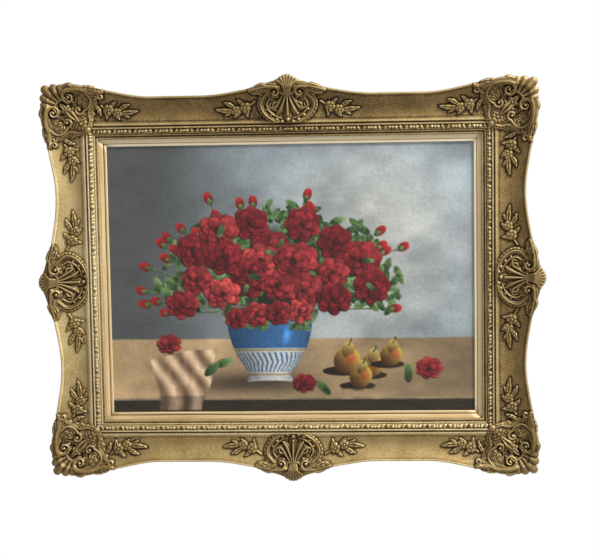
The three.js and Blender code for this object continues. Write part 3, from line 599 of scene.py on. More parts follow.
# Relief field over a plane: height is the highest of its forms, edge their signed distance
class ReliefField:
    def __init__(self, x, z):
        self.x, self.z = x, z
        self.height = np.zeros_like(x)
        self.edge = np.full_like(x, 60.0)

    def join(self, height, edge):
        self.height = np.maximum(self.height, np.where(edge < 0, height, 0))
        self.edge = np.minimum(self.edge, edge)

    # Ground: a thin plate between two outlines, and on it flutes that fan out from a foot and rise away
    # from its edge. The outlines go by place; past is the distance beyond the ground's end
    def ground(self, forms, place, past):
        places, inner, outer = forms["outline"]
        short = np.interp(place, places, inner) + forms["margins"][0] - self.z
        over = self.z - np.interp(place, places, outer) + forms["margins"][1]
        edge = np.maximum(np.maximum(short, over), past)
        self.join(np.full_like(edge, forms["plate"]), edge)
        foot, flutes = forms["foot"], forms["flutes"]
        fan = np.arctan2(self.x - foot[0], self.z - foot[1])
        wave = flutes["wave"] * np.cos(flutes["count"] * fan)
        self.join(flutes["height"] + wave + flutes["rise"] * smoothStep(-edge / flutes["run"]), edge + 1)

    # Scroll: round across its width, with a hollowed channel on each side of its middle, and ripples
    # that run along it
    def scroll(self, points, widths, heights, channel=0, ripples=0, edgeRipple=0):
        path = smoothPath(points)
        reach = np.hypot(self.x[..., None] - path[:, 0], self.z[..., None] - path[:, 1])
        distance = reach.min(-1)
        u = reach.argmin(-1) / (len(path) - 1)
        half = np.interp(u, np.linspace(0, 1, len(widths)), widths) / 2
        half = half * (1 + edgeRipple * np.abs(np.sin(np.pi * ripples * u)))
        top = np.interp(u, np.linspace(0, 1, len(heights)), heights)
        x = distance / half
        dip = channel * bell(x - formSet["channelAt"], formSet["channelWidth"])
        wave = np.cos(2 * np.pi * ripples * u) if ripples else 0
        notch = formSet["notch"] * wave * smoothStep((x - 0.3) * 3)
        self.join(top * np.sqrt(np.maximum(1 - x ** 2, 0)) * (1 - dip - notch), distance - half)

    # Leaf: width swells then comes to a point, its edge in lobes, with a sunk midrib and side veins
    def leaf(self, root, tip, width, height, bend=0, lobes=3, rib=0.45):
        run = np.array(tip, float) - root
        length = np.hypot(*run)
        run /= length
        along = ((self.x - root[0]) * run[0] + (self.z - root[1]) * run[1]) / length
        across = (self.z - root[1]) * run[0] - (self.x - root[0]) * run[1] - 4 * bend * along * (1 - along)
        inside = clamp01(along)
        half = width / 2 * np.sin(np.pi * inside ** 0.75) ** 0.8
        half = half * (0.86 + formSet["lobe"] * np.abs(np.sin(np.pi * lobes * inside)))
        edge = np.maximum(np.abs(across) - half, np.abs(along - 0.5) * length - 0.5 * length)
        x = np.abs(across) / np.maximum(half, 0.4)
        vein = formSet["vein"] * np.cos(2 * np.pi * (lobes * inside - 0.5 * x)) * smoothStep(x * 2)
        shape = np.maximum(1 - x ** 2.2, 0) ** 0.6 * (1 - rib * bell(x, formSet["ribWidth"]) - vein)
        self.join(height * shape * (0.75 + 0.25 * np.sin(np.pi * inside)), edge)

    # Bloom: petals in two rings round a button; the rim waves in and out once for each petal
    def bloom(self, centre, radius, height, petals=5, turn=0.3):
        dx, dz = self.x - centre[0], self.z - centre[1]
        reach, angle = np.hypot(dx, dz), np.arctan2(dz, dx) + turn
        onPetal, offPetal = np.cos(petals * angle / 2), np.sin(petals * angle / 2)
        rim = radius * (1 - formSet["petalWave"] + formSet["petalWave"] * np.abs(onPetal) ** 0.7)
        outer = reach / rim
        cleft = 1 - formSet["cleft"] * bell(onPetal, formSet["cleftWidth"]) * smoothStep(outer * 2)
        bowl = np.sqrt(np.maximum(1 - outer ** 2, 0)) * (0.55 + 0.45 * smoothStep(outer / 0.6)) * cleft
        within = reach / (rim * formSet["innerRing"])
        fold = 1 - formSet["innerCleft"] * bell(offPetal, formSet["innerCleftWidth"])
        second = formSet["innerHeight"] * np.sqrt(np.maximum(1 - within ** 2, 0)) * fold
        inButton = reach / (radius * formSet["button"])
        button = formSet["buttonHeight"] * np.sqrt(np.maximum(1 - inButton ** 2, 0))
        self.join(height * np.maximum(np.maximum(bowl, second), button), reach - rim)

    # Bead: half of a round, its height the root of 1 less the square of its reach
    def bead(self, centre, radius, height):
        reach = np.hypot(self.x - centre[0], self.z - centre[1])
        self.join(height * np.sqrt(np.maximum(1 - (reach / radius) ** 2, 0)), reach - radius)

    # The forms of a casting, each row with what its own function above takes
    def carve(self, forms):
        shapes = {"scrolls": self.scroll, "leaves": self.leaf, "blooms": self.bloom, "beads": self.bead}
        for kind, shape in shapes.items():
            for row in forms.get(kind, []):
                shape(*row)


# Mean over a square window, from running sums along each axis
def blurred(field, cells):
    for axis in (0, 1):
        padded = np.pad(field, [(cells + 1, cells) if k == axis else (0, 0) for k in (0, 1)], "edge")
        total = np.cumsum(padded, axis)
        ahead = np.take(total, np.arange(2 * cells + 1, total.shape[axis]), axis)
        behind = np.take(total, np.arange(0, total.shape[axis] - 2 * cells - 1), axis)
        field = (ahead - behind) / (2 * cells + 1)
    return field


# Castings: how they are meshed and toned. A place is dark by how far, in mm, it lies below the mean of
# what is near and far from it, and bright by how far it stands over what is near
castSet = {
    "keptPast": 0.45, "rimMove": 1.4, "rimHeight": 0.3,  # the first two are shares of a field's step
    "near": 2.4, "far": 7, "crest": 0.95, "crestRise": 2.4, "creviceDepth": 1.3,
    "hollow": 0.6, "hollowDepth": 5, "backTone": -0.35,
    "look": {
        "grainMm": 1.6, "blotchMm": 24, "reliefShare": 0.42, "middle": 0.16, "grainShare": 0.35,
        "blotchShare": 0.3, "roughLow": 0.6, "roughHigh": 0.4, "bump": 0.25, "metallic": 0.4,
        "tones": [
            (0.06, "#150c05"), (0.26, "#3c2a14"), (0.48, "#8a6f40"), (0.68, "#b09762"), (0.98, "#ecdcb0"),
        ],
    },
}


# A closed casting from a relief field: the grid inside the edge, its rim moved onto the edge line, a
# back below it and a wall between. toFrame turns (x, z, height over the bed) into the row frame
def buildCasting(name, field, forms, toFrame, gilding):
    step = forms["step"]
    x, z, edge = field.x.copy(), field.z.copy(), field.edge
    rows, columns = x.shape
    quads = gridQuads(rows, columns)
    quads = quads[(edge.ravel()[quads] < step * castSet["keptPast"]).all(1)]
    # an edge whose other way round isn't there is on the rim
    edges = np.concatenate([quads[:, [k, (k + 1) % 4]] for k in range(4)])
    forth = edges[:, 0] * (rows * columns) + edges[:, 1]
    back = edges[:, 1] * (rows * columns) + edges[:, 0]
    rim = edges[~np.isin(forth, back)]
    slopeX, slopeZ = np.gradient(edge, step)
    size = np.maximum(np.hypot(slopeX, slopeZ), 0.3)
    onRim = np.unique(rim)
    furthest = step * castSet["rimMove"]
    move = np.clip(edge.ravel()[onRim] / size.ravel()[onRim], -furthest, furthest)
    x.ravel()[onRim] -= move * (slopeX / size).ravel()[onRim]
    z.ravel()[onRim] -= move * (slopeZ / size).ravel()[onRim]
    height = field.height.copy()
    height.ravel()[onRim] = castSet["rimHeight"]
    overNear = field.height - blurred(field.height, int(round(castSet["near"] / step)))
    overFar = field.height - blurred(field.height, int(round(castSet["far"] / step)))
    relief = castSet["crest"] * clamp01(overNear / castSet["crestRise"])
    relief = relief - clamp01(-overNear / castSet["creviceDepth"])
    relief = np.clip(relief - castSet["hollow"] * clamp01(-overFar / castSet["hollowDepth"]), -1, 1)
    used, index = np.unique(quads, return_inverse=True)
    quads = index.reshape(-1, 4)
    lookup = np.zeros(rows * columns, int)
    lookup[used] = np.arange(len(used))
    rim = lookup[rim]
    front = toFrame(x.ravel()[used], z.ravel()[used], height.ravel()[used])
    behind = toFrame(x.ravel()[used], z.ravel()[used], np.full(len(used), -forms["thickness"]))
    walls = np.stack([rim[:, 1], rim[:, 0], rim[:, 0] + len(used), rim[:, 1] + len(used)], -1)
    faces = np.concatenate([quads, quads[:, ::-1] + len(used), walls])
    relief = np.concatenate([relief.ravel()[used], np.full(len(used), castSet["backTone"])])
    return buildPiece(name, np.concatenate([front, behind]), faces, [gilding], values=relief)


# Distance to a casting's edge at any place of its plane, read from its field; far off beyond the grid
def edgeAt(field, step, x, z):
    i, j = np.rint((x - field.x[0, 0]) / step), np.rint((z - field.z[0, 0]) / step)
    rows, columns = field.x.shape
    known = (i >= 0) & (j >= 0) & (i < rows) & (j < columns)
    nearest = field.edge[np.clip(i, 0, rows - 1).astype(int), np.clip(j, 0, columns - 1).astype(int)]
    return np.where(known, nearest, 60)


# Painted contact shade and umber against the castings: the rail darker by a bell curve of the distance to the
# nearest one
def umberAndShadeRound(half, waist, s, t):
    edges = [edgeAt(centreRelief, centreSet["step"], s, t - waist - sizes["crestRise"]),
             edgeAt(cornerRelief, cornerSet["step"], np.abs(s) - half, t)]
    for place, run in (("centre", 1), ("corner", -1)):
        start = spraySet["starts"][place] + (half if place == "corner" else 0)
        for hand in (-1, 1):
            p, q = run * (hand * s - start), t - spraySet["hollow"]
            edges.append(edgeAt(sprayReliefs[place], spraySet["step"], p, q))
    return bell(np.maximum(np.min(edges, 0), 0), railSet["umberAndShadeReach"])


# The rows below are, for a scroll: points, widths, heights, channel, ripples, how far those move its
# edge; for a leaf: root, tip, width, height, bend, lobes, rib; for a bloom: centre, radius, height,
# petals, turn; and for a bead: centre, radius, height

# Sprays: stem, leaves and two blooms; p runs along from the stem's root, q out from the cove's edge
spraySet = {
    "step": 0.95, "thickness": 1.6, "hollow": 46, "spans": ((4, 104), (4, 60)),
    "starts": {"centre": 55, "corner": 26},
    "stems": {"centre": (15, 45), "corner": (20, 42)},  # where each kind's stem begins
    "stemPath": [(22, 40), (28, 37), (45, 33), (62, 28)], "stemWidths": [5, 5, 5, 4], "stemHeight": 3.4,
    "leaves": [
        ((26, 42), (30, 11), 12, 5.5, 3), ((58, 31), (82, 44), 11.5, 5.5, 2),
        ((58, 26), (100, 30), 13, 5.5, -1.5), ((40, 38), (52, 50), 9, 5, 1),
        ((45, 24), (60, 11), 9.5, 5, 1), ((66, 24), (80, 15), 8.5, 4.5, 0),
    ],
    "blooms": [((36, 33), 13, 8), ((55, 26), 12, 7.4)],
}


# A spray's relief: the stem as a scroll from its start, then leaves and blooms over it
def carveSpray(stemStart):
    field = ReliefField(*planeGrid(spraySet))
    stem = [stemStart, *spraySet["stemPath"]]
    field.scroll(stem, spraySet["stemWidths"], [spraySet["stemHeight"]] * 2)
    field.carve(spraySet)
    return field


# Centre castings: s along the rail and v out from the rim at its middle
centreSet = {
    "step": 1.12, "thickness": 4.6, "spans": ((-84, 84.1), (-91, 22)), "plate": 1.4, "groundEnd": 79,
    # ground's inner and outer edge by s, and how far it stays inside them
    "outline": ([0, 12, 28, 49, 61, 82], [-89, -87, -78, -60, -24, -22], [20, 17, 9, 3, 0, -6]),
    "margins": (2, 2.5),
    "foot": (0, -96), "flutes": {"height": 3.4, "wave": 0.7, "count": 26, "rise": 1.6, "run": 14},
    "scrolls": [
        # C-scroll round the bell: a broad hollow band with ribs, an outer lip and an inner lip
        ([(40, -20), (53, -34), (54, -48), (45, -63), (30, -75), (13, -82), (0, -84)],
         [12, 18, 19, 18, 17, 16, 14], [7, 8, 8, 8, 7.5, 7, 7], 0.3, 15, 0.1),
        ([(43, -20), (55.5, -35), (56.5, -48), (48, -64), (33, -76), (15, -84)], [4, 6, 6], [8, 10, 10, 8]),
        ([(36, -30), (43, -42), (39, -56), (29, -66), (16, -72)], [6, 9, 9, 7], [8, 10.5, 10.5, 8], 0.2),
        # bell: petals that hang from the crown and widen towards the picture, the outer ones curling away
        ([(8, -22), (16, -36), (26, -50), (37, -50), (36, -41)], [8, 13, 16, 11, 7], [9, 11, 11, 10, 8], 0.2),
        ([(3, -22), (8, -38), (15, -54), (22, -64)], [8, 13, 18, 11], [10, 13, 13, 9], 0.22),
        ([(0, -22), (0, -44), (0, -66)], [8, 13, 17], [11, 14.5, 12], 0.3),
        ([(20, -38), (29, -42), (30, -52), (22, -58)], [6, 9, 9, 6], [10, 11.5, 10.5, 8], 0.2),
        # crown: ridges that fan out and widen, the middle one longest
        ([(0, -20), (0, -4), (0, 15.2)], [6, 8, 9.6], [10.5, 10, 6.5]),
        ([(2, -20), (3, -4), (6.4, 14.1)], [6, 8, 9.6], [10.1, 10, 6.5]),
        ([(4, -20), (6, -4), (12.8, 10.8)], [6, 8, 9.6], [9.7, 10, 6.5]),
        ([(6, -20), (9, -4), (19.2, 5.3)], [6, 8, 9.6], [9.3, 10, 6.5]),
        ([(0, -22), (11, -20), (17, -8)], [8, 9, 7], [11, 10, 8], 0.2),
        # volutes that sweep out along the rim into leaf tips
        ([*volutePoints((27, -18), (3.6, 11.5), (0, -270)), (40, -6), (53, -7), (66, -11), (79, -14)],
         [7, 10.5, 12, 13, 14, 16, 15, 9], [9, 12, 13.5, 12.5, 10.5, 9, 6.5], 0.3, 7, 0.14),
        ([(38, -9), (52, -2), (66, -6)], [7, 10, 8], [9, 9, 6], 0.2),
    ],
    "leaves": [((46, -9), (77, -21), 13, 7.5, -2)],
    "beads": [
        ((27, -18), 5, 13), ((23, -75), 5.4, 9.5), ((35, -66), 4.8, 10), ((0, -75), 6, 10.5),
        ((0, -86), 6, 9), ((12, -80), 5.4, 9), ((44, -54), 4.4, 10),
    ],
}


# Relief of a centre casting, by the distance from the middle of its rail
def carveCentre():
    s, v = planeGrid(centreSet)
    side = np.abs(s)  # both halves are alike
    field = ReliefField(side, v)
    field.ground(centreSet, side, side - centreSet["groundEnd"])
    field.carve(centreSet)
    field.x = s
    return field


# Corner castings: a and b past the sight corner, alike on both sides of the mitre. The rows are worked
# out where b is over a; the other half is its mirror
cornerSet = {
    "step": 1.12, "thickness": 4.6, "spans": ((-4, 139.5), (-4, 139.5)), "plate": 1.4, "groundStart": 13,
    # ground's inner and outer edge by the slope a / b, and how far it stays inside them
    "outline": ([-0.03, 0.07, 0.17, 0.29, 0.42, 0.62, 0.85, 1], [101, 98, 88, 72, 54, 40, 34, 30],
                [126, 127, 127, 130, 134, 127, 127, 125]),
    "margins": (2, 2.5),
    "foot": (44, 44), "flutes": {"height": 3.6, "wave": 0.8, "count": 17, "rise": 2, "run": 16},
    # shell on the mitre: lobes that fan out from a collar to the corner of the rim
    "shell": {
        "middle": (82, 82), "from": 22, "bend": 0.55, "widths": [11, 15, 19], "heights": [12, 12, 8.5],
        "channel": 0.12, "lobes": [(45, 59), (62, 50), (79, 44)],  # degrees, length
    },
    "scrolls": [
        # broad band between the two volutes, with its ribs
        ([(28, 84), (35, 99), (50, 104), (64, 96)], [20, 26, 26, 20], [5.5, 7, 7, 6], 0.12),
        # outer volute with its arm, whose end curls back on itself
        ([*volutePoints((74, 107), (3.4, 14.6), (-350, 82), 20), (62, 123), (46, 121), (30, 115), (14, 114),
          (2, 117)], [4.6, 5.2, 6, 7, 8.4, 10, 13, 20, 22, 19, 10],
         [10, 12, 13.5, 14.5, 14.5, 14, 13, 11.5, 9.5, 6], 0.2, 9, 0.1),
        (volutePoints((5, 108), (1.6, 7.4), (-250, 80), 10), [4, 5, 6.4, 8], [8, 10, 10, 8], 0.15),
        # inner volute with its arm
        ([*volutePoints((53, 80), (3.8, 11), (120, -170)), (32, 86), (27, 99), (34, 112), (48, 120)],
         [7, 11, 12.5, 16, 17, 15, 9], [9, 12, 13, 12, 10.5, 9], 0.28, 8, 0.12),
        ([(60, 119), (70, 133), (89, 129)], [8, 11, 8], [9, 9, 6], 0.2),
        ([(22, 100), (10, 108), (0, 120)], [8, 10, 7], [7, 8, 5], 0.2),
        # collar of the shell and the scroll beside it
        (volutePoints((80, 80), (25, 23), (45, 112), 5), [8, 9, 6], [13, 13, 9]),
        ([(64, 96), (74, 100), (84, 108), (90, 119)], [6, 8, 8, 5], [10, 13, 13, 9], 0.2),
        # inner edge, towards the picture
        ([(25, 92), (33, 74), (31, 56), (36, 42)], [9, 13, 12, 8], [7, 9, 8, 6], 0.2, 7, 0.18),
    ],
    "leaves": [
        ((36, 112), (-2, 104), 18, 7.5, -3), ((46, 128), (10, 125), 13, 6.5, 1),
        # acanthus that opens from the inner volute over the band
        ((51, 86), (27, 97), 15, 10, 1.5, 2, 0.25), ((51, 86), (37, 108), 15, 10, 1.5, 2, 0.25),
        ((51, 86), (52, 110), 14, 10, 1.5, 2, 0.25), ((20, 90), (7, 63), 10, 6.5, -3),
        # tongue leaf on the mitre, then the leaves below the boss
        ((54, 54), (96, 96), 25, 14, 0, 2, 0.25), ((64, 64), (60, 94), 19, 10, -2),
        ((58, 58), (36, 70), 17, 9, 2), ((46, 60), (22, 70), 15, 7), ((38, 78), (19, 68), 14, 6),
    ],
    "blooms": [((81, 81), 14, 13.5, 6, 0), ((50, 50), 18, 10, 7, 0)],
    # eyes of the two volutes, and the knob over the mouldings
    "beads": [((74, 107), 4.4, 15), ((53, 80), 4.8, 13), ((37, 37), 8.5, 8.5)],
}


# Relief of a corner casting, by the smaller and the larger of a and b
def carveCorner():
    a, b = planeGrid(cornerSet)
    low, high = np.minimum(a, b), np.maximum(a, b)
    field = ReliefField(low, high)
    field.ground(cornerSet, low / np.maximum(high, 1), cornerSet["groundStart"] - low)
    field.carve(cornerSet)
    shell = cornerSet["shell"]
    for degrees, length in shell["lobes"]:
        way = np.array([math.cos(math.radians(degrees)), math.sin(math.radians(degrees))])
        lobe = [shell["middle"] + reach * way for reach in (shell["from"], length * shell["bend"], length)]
        field.scroll(lobe, shell["widths"], shell["heights"], shell["channel"])
    field.x, field.z = a, b
    return field


# Picture: oil paint on linen round a stretcher. Its design is a generic one, worked out from seeds:
# poppies in a low striped bowl, pears on a table and a cloth. Places are mm from the picture's middle,
# a pair of colours is what a dab goes between from its dark to its light side
pictureSet = {
    "seed": 21, "gain": 1.45,  # the paint's colours are laid on a little dark
    "washes": [(90, 3, 1.6, 0.6), (34, 4, 1.6, 0.3), (11, 5, 2, 0.1)],  # cell mm, seed, flatness, share
    "fleckMm": 5, "toothMm": 2.6, "toothSeed": 12, "tooth": 0.1,
    "dab": {"middle": 0.5, "tip": 0.42, "lit": 0.168, "ribWidth": 0.12},
    "turn": 6.28,  # a full turn, for what lies any way round
    "wall": {
        "grey": "#4b4e4d", "blue": "#84919a", "cream": "#bcb8aa", "blueFrom": -330, "blueRun": 380,
        "glowAt": (170, 60), "glowSize": (210, 240),
        # a base and a share of the wash: how blue, how strong the glow, how light
        "blueWash": (0.7, 0.5), "glowWash": (0.45, 0.6), "lightWash": (0.86, 0.22),
    },
    "table": {
        "top": -128, "edge": -262, "wood": "#a68c69", "woodDark": "#241c10", "front": "#2b241b",
        "rim": "#8a7a5f", "rimWidth": 2.4, "waver": 2, "waverMm": 60, "waverSeed": 6,
        "woodWash": (0.72, 0.5), "darkLeft": 0.3, "darkRun": 400,
        "light": 0.98, "dimRight": 0.2, "dimFrom": -120, "dimRun": 400,
        "grain": (0.8, 0.35), "grainStretch": 0.15, "grainMm": 3, "grainSeed": 8,
        "shadow": "#1c1610", "shadowAt": (-92, -226), "shadowSize": (135, 26), "shadowShare": 0.75,
    },
    "cloth": {
        "left": -292, "right": -196, "top": -160, "foot": -286,
        "drop": 110, "spreadLeft": 16, "spreadRight": 34,
        # waves of the edges: how far, how long, and the slope of the upper one
        "leftWave": (3, 23), "rightWave": (4, 19), "topWave": (3, 21), "topSlope": 0.16, "slopeFrom": -240,
        "foldMm": 7.5, "foldBend": 1.6, "bendMm": 31, "foldSlant": 0.03,
        "creases": 0.25, "creaseMm": 9, "creaseSeed": 9, "creaseStretch": 0.4,
        "hanging": 0.72, "hangsFrom": 6, "colours": ("#5b4632", "#e2c39f"),
    },
    "bowl": {
        "middle": -48, "top": -88, "foot": -222, "rimHalf": 92, "footHalf": 44, "footFlare": 7,
        "flareHeight": 0.06, "footHeight": 0.12, "swell": 0.8, "footBow": 3,
        "white": "#d8dbd8", "blue": "#3d6fa6", "gold": "#a88a3c", "goldLines": (0.1, 0.5, 0.94),
        "goldWidth": 0.012, "blueFrom": 0.52, "lineSoftness": 0.02,
        "chevrons": 9, "chevronAt": 0.3, "chevronReach": 0.17, "chevronSlope": 2.2, "chevronHalf": 0.13,
        "chevronBlue": 0.9, "chevronCover": 0.85,
        "dim": 0.42, "facing": 0.5, "fleck": 0.1, "side": (0.72, 0.4),
        "shine": 0.5, "shineAt": (0.42, 0.74), "shineSize": (0.09, 0.12),
    },
    "bouquet": {
        "foot": (-26, -22), "reach": (236, 166), "overhang": 0.3,
        "heart": (-26, 18), "heartSize": (150, 104), "heartSharpness": 3.5, "heartColour": "#1b2414",
        "stems": {"spread": 30, "rise": 20, "width": 1.7, "bow": 14},
        "buds": 24, "budReach": (1.02, 1.36), "budSize": (14, 9.5), "cupSize": (8, 5), "cupBelow": 9,
        "leaves": 400, "leafReach": (0.95, 1.12), "leafLength": (11, 20),
        "blooms": 22, "bloomReach": 0.98, "bloomGap": 58, "gapLetGo": 0.002,
        "bloomRadius": (31, 41), "bloomFace": (0.76, 1.0), "strayReach": 26, "strayLength": (11, 17),
    },
    # over the mouth of the bowl
    "mouth": {
        "leaves": 44, "spread": 96, "leafRise": (-16, 22), "leafLength": (12, 19), "leafTurn": (-2.6, -0.5),
        "blooms": (-70, -28, 20, 66), "bloomRise": (2, 20), "bloomRadius": (22, 29), "bloomFace": 0.85,
    },
    "poppy": {
        "under": ("#3a080b", "#7c1217"), "dark": ("#2c060a", "#4c0c12"), "light": ("#761820", "#c44c48"),
        "heart": ("#17090a", "#4a201c"), "heartSize": (0.16, 0.14), "slant": 0.3, "glow": (0.7, 1.12),
        "rings": [(0.62, 0.5, 7), (0.44, 0.42, 6), (0.24, 0.32, 4)],  # how far out, size, petals
        "ringTurn": 0.5, "shadowOff": 0.8, "shadowWidth": 0.82, "petalSize": (0.95, 0.74),
    },
    "leaf": {"dark": ("#0f1c0b", "#26401f"), "light": ("#3f6232", "#8aa06a"), "width": 0.44, "rib": 0.22},
    "stem": {"colours": ("#22371a", "#6d8450"), "dabs": 110, "slant": 0.8, "edge": 1.6},
    "bud": ("#40090c", "#a42628"), "cup": ("#1f3518", "#5d7c44"),
    "pears": [(118, -178, 30), (172, -190, 27), (214, -168, 25), (148, -214, 26)],  # x, z, radius
    # parts of a pear: colours, offset mm, offset up in radii, length and width in radii, turn
    "pearParts": [
        (("#17120c", "#2a2118"), (-8, 0), -0.8, (1.5, 0.35), 0, {}),
        (("#3f2410", "#b0903f"), (0, 0), 0, (1, 0.9), 0.8, {"mottle": 0.1}),
        (("#4d3216", "#b09a50"), (3, 0), 0.75, (0.62, 0.46), 1.4, {"mottle": 0.1}),
        (("#7c3a1c", "#b0683a"), (9, 2), 0, (0.42, 0.34), 0.8, {"mottle": 0.1, "edge": 6}),
    ],
    "pearStem": {"from": (4, 1.1), "to": (10, 1.6), "width": 1.5, "bow": 2},
    "fallenLeaves": [(-150, -182), (66, -238), (-176, -196), (250, -208)],
    "fallenLength": 21, "fallenTurn": 3.1,
    "fallenBlooms": [((-268, -140), 25, 0.7), ((296, -196), 27, 0.72), ((26, -228), 24, 0.66)],
}


# Smooth noise: random values on a square grid, eased between its corners
def valueNoise(x, z, cell, seed):
    period = 60
    grid = np.random.default_rng(seed).random((period + 1, period + 1))
    fx, fz = x / cell + 500, z / cell + 500  # the shift keeps them above 0
    ix, iz = fx.astype(int), fz.astype(int)
    tx, tz = smoothStep(fx - ix), smoothStep(fz - iz)
    ix, iz = ix % period, iz % period
    low = grid[ix, iz] * (1 - tx) + grid[ix + 1, iz] * tx
    high = grid[ix, iz + 1] * (1 - tx) + grid[ix + 1, iz + 1] * tx
    return low * (1 - tz) + high * tz


# Between two colours, by one share or by one for each place
def mixed(first, second, share):
    return first + (second - first) * np.asarray(share)[..., None]


# Two hex colours as channels
def pair(colours):
    return srgb(colours[0]), srgb(colours[1])


# Distance from the middle of an oval, in its own radii
def fromOval(x, z, middle, radii):
    return np.hypot((x - middle[0]) / radii[0], (z - middle[1]) / radii[1])


# The painted surface: colours at its points, laid over each other
class Painter:
    def __init__(self, x, z, seed):
        self.x, self.z = x, z
        self.colour = np.zeros((len(x), 3))
        self.random = np.random.default_rng(seed)
        self.fleck = valueNoise(x, z, pictureSet["fleckMm"], seed) - 0.5

    def lay(self, cover, colour, where=slice(None)):
        cover = clamp01(cover)[:, None]
        self.colour[where] = self.colour[where] * (1 - cover) + np.clip(colour, 0, 1) * cover

    # One brush dab: an oval with a soft edge, light at its tip and on the side towards the light
    def dab(self, centre, length, width, turn, dark, light, edge=1.3, rib=0, mottle=0.5):
        look = pictureSet["dab"]
        near = np.nonzero((np.abs(self.x - centre[0]) < length) & (np.abs(self.z - centre[1]) < length))[0]
        dx, dz = self.x[near] - centre[0], self.z[near] - centre[1]
        along = dx * math.cos(turn) + dz * math.sin(turn)
        across = dz * math.cos(turn) - dx * math.sin(turn)
        reach = np.hypot(along / length, across / width)
        shade = look["middle"] + look["tip"] * along / length + look["lit"] * (dx + dz) / max(length, width)
        shade = shade + mottle * self.fleck[near] - rib * bell(across, width * look["ribWidth"])
        self.lay((1 - reach) * min(length, width) / edge + 0.5, mixed(dark, light, clamp01(shade)), near)

    # A poppy: rings of broad petals round a dark heart, each over its own shadow
    def poppy(self, centre, radius, face):
        look = pictureSet["poppy"]
        deep = self.random.uniform(0, 1)
        dark, light = mixed(*pair(look["dark"]), deep), mixed(*pair(look["light"]), deep)
        start = self.random.uniform(0, pictureSet["turn"])
        self.dab(centre, radius, radius * face, look["slant"], *pair(look["under"]))
        for ring, (out, size, count) in enumerate(look["rings"]):
            length = radius * size
            for k in range(count):
                angle = start + ring * look["ringTurn"] + 2 * math.pi * k / count
                x = centre[0] + radius * out * math.cos(angle)
                z = centre[1] + radius * out * math.sin(angle) * face
                glow = light * self.random.uniform(*look["glow"])
                shadow = (x - look["shadowOff"], z - look["shadowOff"])
                self.dab(shadow, length, length * look["shadowWidth"], angle, dark * 0.5, dark)
                petal = [length * share for share in look["petalSize"]]
                self.dab((x, z), *petal, angle, dark, glow)
        self.dab(centre, *(radius * share for share in look["heartSize"]), 0, *pair(look["heart"]))

    # A leaf: one dab with a dark rib along it
    def leaf(self, centre, length, turn):
        look = pictureSet["leaf"]
        tone = self.random.uniform(0, 1)
        dark, light = mixed(*pair(look["dark"]), tone), mixed(*pair(look["light"]), tone)
        self.dab(centre, length, length * look["width"], turn, dark, light, rib=look["rib"])

    # A stem: dabs along a line that bows to one side as a parabola
    def stem(self, start, end, width, bow):
        look = pictureSet["stem"]
        for u in np.linspace(0, 1, look["dabs"]):
            x = start[0] + (end[0] - start[0]) * u + bow * 4 * u * (1 - u)
            z = start[1] + (end[1] - start[1]) * u
            self.dab((x, z), width, width, look["slant"], *pair(look["colours"]), edge=look["edge"])


# Wall with a soft glow, and the table with its front edge and the bowl's shadow
def paintGround(painter):
    x, z = painter.x, painter.z
    wall, table = pictureSet["wall"], pictureSet["table"]
    wash = 0
    for cell, seed, flatness, share in pictureSet["washes"]:
        wash = wash + valueNoise(x, z * flatness, cell, seed) * share
    glow = bell(fromOval(x, z, wall["glowAt"], wall["glowSize"]), 1)
    side = smoothStep((x - wall["blueFrom"]) / wall["blueRun"])

    def washed(base, share):
        return base + share * wash

    back = mixed(srgb(wall["grey"]), srgb(wall["blue"]), side * washed(*wall["blueWash"]))
    back = mixed(back, srgb(wall["cream"]), glow * washed(*wall["glowWash"]))
    painter.colour[:] = back * washed(*wall["lightWash"])[:, None]
    top = table["top"] + table["waver"] * (valueNoise(x, z, table["waverMm"], table["waverSeed"]) - 0.5)
    board = srgb(table["wood"]) * washed(*table["woodWash"])[:, None]
    board = board + srgb(table["woodDark"]) * (table["darkLeft"] * clamp01(-x / table["darkRun"]))[:, None]
    light = table["light"] - table["dimRight"] * clamp01((x - table["dimFrom"]) / table["dimRun"])
    painter.lay((top - z) / 4, board * light[:, None])
    base, share = table["grain"]
    grain = base + share * valueNoise(x * table["grainStretch"], z, table["grainMm"], table["grainSeed"])
    painter.lay((table["edge"] - z) / 2 + 0.5, srgb(table["front"]) * grain[:, None])
    rim = 1 - np.abs(z - table["edge"] - 1) / table["rimWidth"]
    painter.lay(rim, srgb(table["rim"]) * grain[:, None])
    shadow = bell(fromOval(x, z, table["shadowAt"], table["shadowSize"]), 1)
    painter.lay(table["shadowShare"] * shadow, srgb(table["shadow"]))


# Cloth: folds are waves across it; it is darker where it hangs over the table's edge
def paintCloth(painter):
    cloth = pictureSet["cloth"]
    x, z = painter.x, painter.z
    spread = 1 - clamp01((cloth["top"] - z) / cloth["drop"])
    (leftHigh, leftLong), (rightHigh, rightLong), (topHigh, topLong) = (
        cloth[edge] for edge in ("leftWave", "rightWave", "topWave"))
    left = cloth["left"] - cloth["spreadLeft"] * spread + leftHigh * np.sin(z / leftLong)
    right = cloth["right"] + cloth["spreadRight"] * spread + rightHigh * np.sin(z / rightLong + 1)
    top = cloth["top"] + cloth["topSlope"] * (x - cloth["slopeFrom"]) + topHigh * np.sin(x / topLong)
    inside = np.min([x - left, right - x, top - z, z - cloth["foot"]], 0)
    bend = cloth["foldBend"] * np.sin(z / cloth["bendMm"]) + cloth["foldSlant"] * z
    fold = np.sin((x - left) / cloth["foldMm"] + bend) * 0.5 + 0.5
    creases = valueNoise(x, z * cloth["creaseStretch"], cloth["creaseMm"], cloth["creaseSeed"])
    fold = fold * (1 - cloth["creases"]) + cloth["creases"] * creases
    hang = np.where(z < pictureSet["table"]["edge"] + cloth["hangsFrom"], cloth["hanging"], 1)
    painter.lay(inside / 2 + 0.5, mixed(*pair(cloth["colours"]), fold) * hang[:, None])


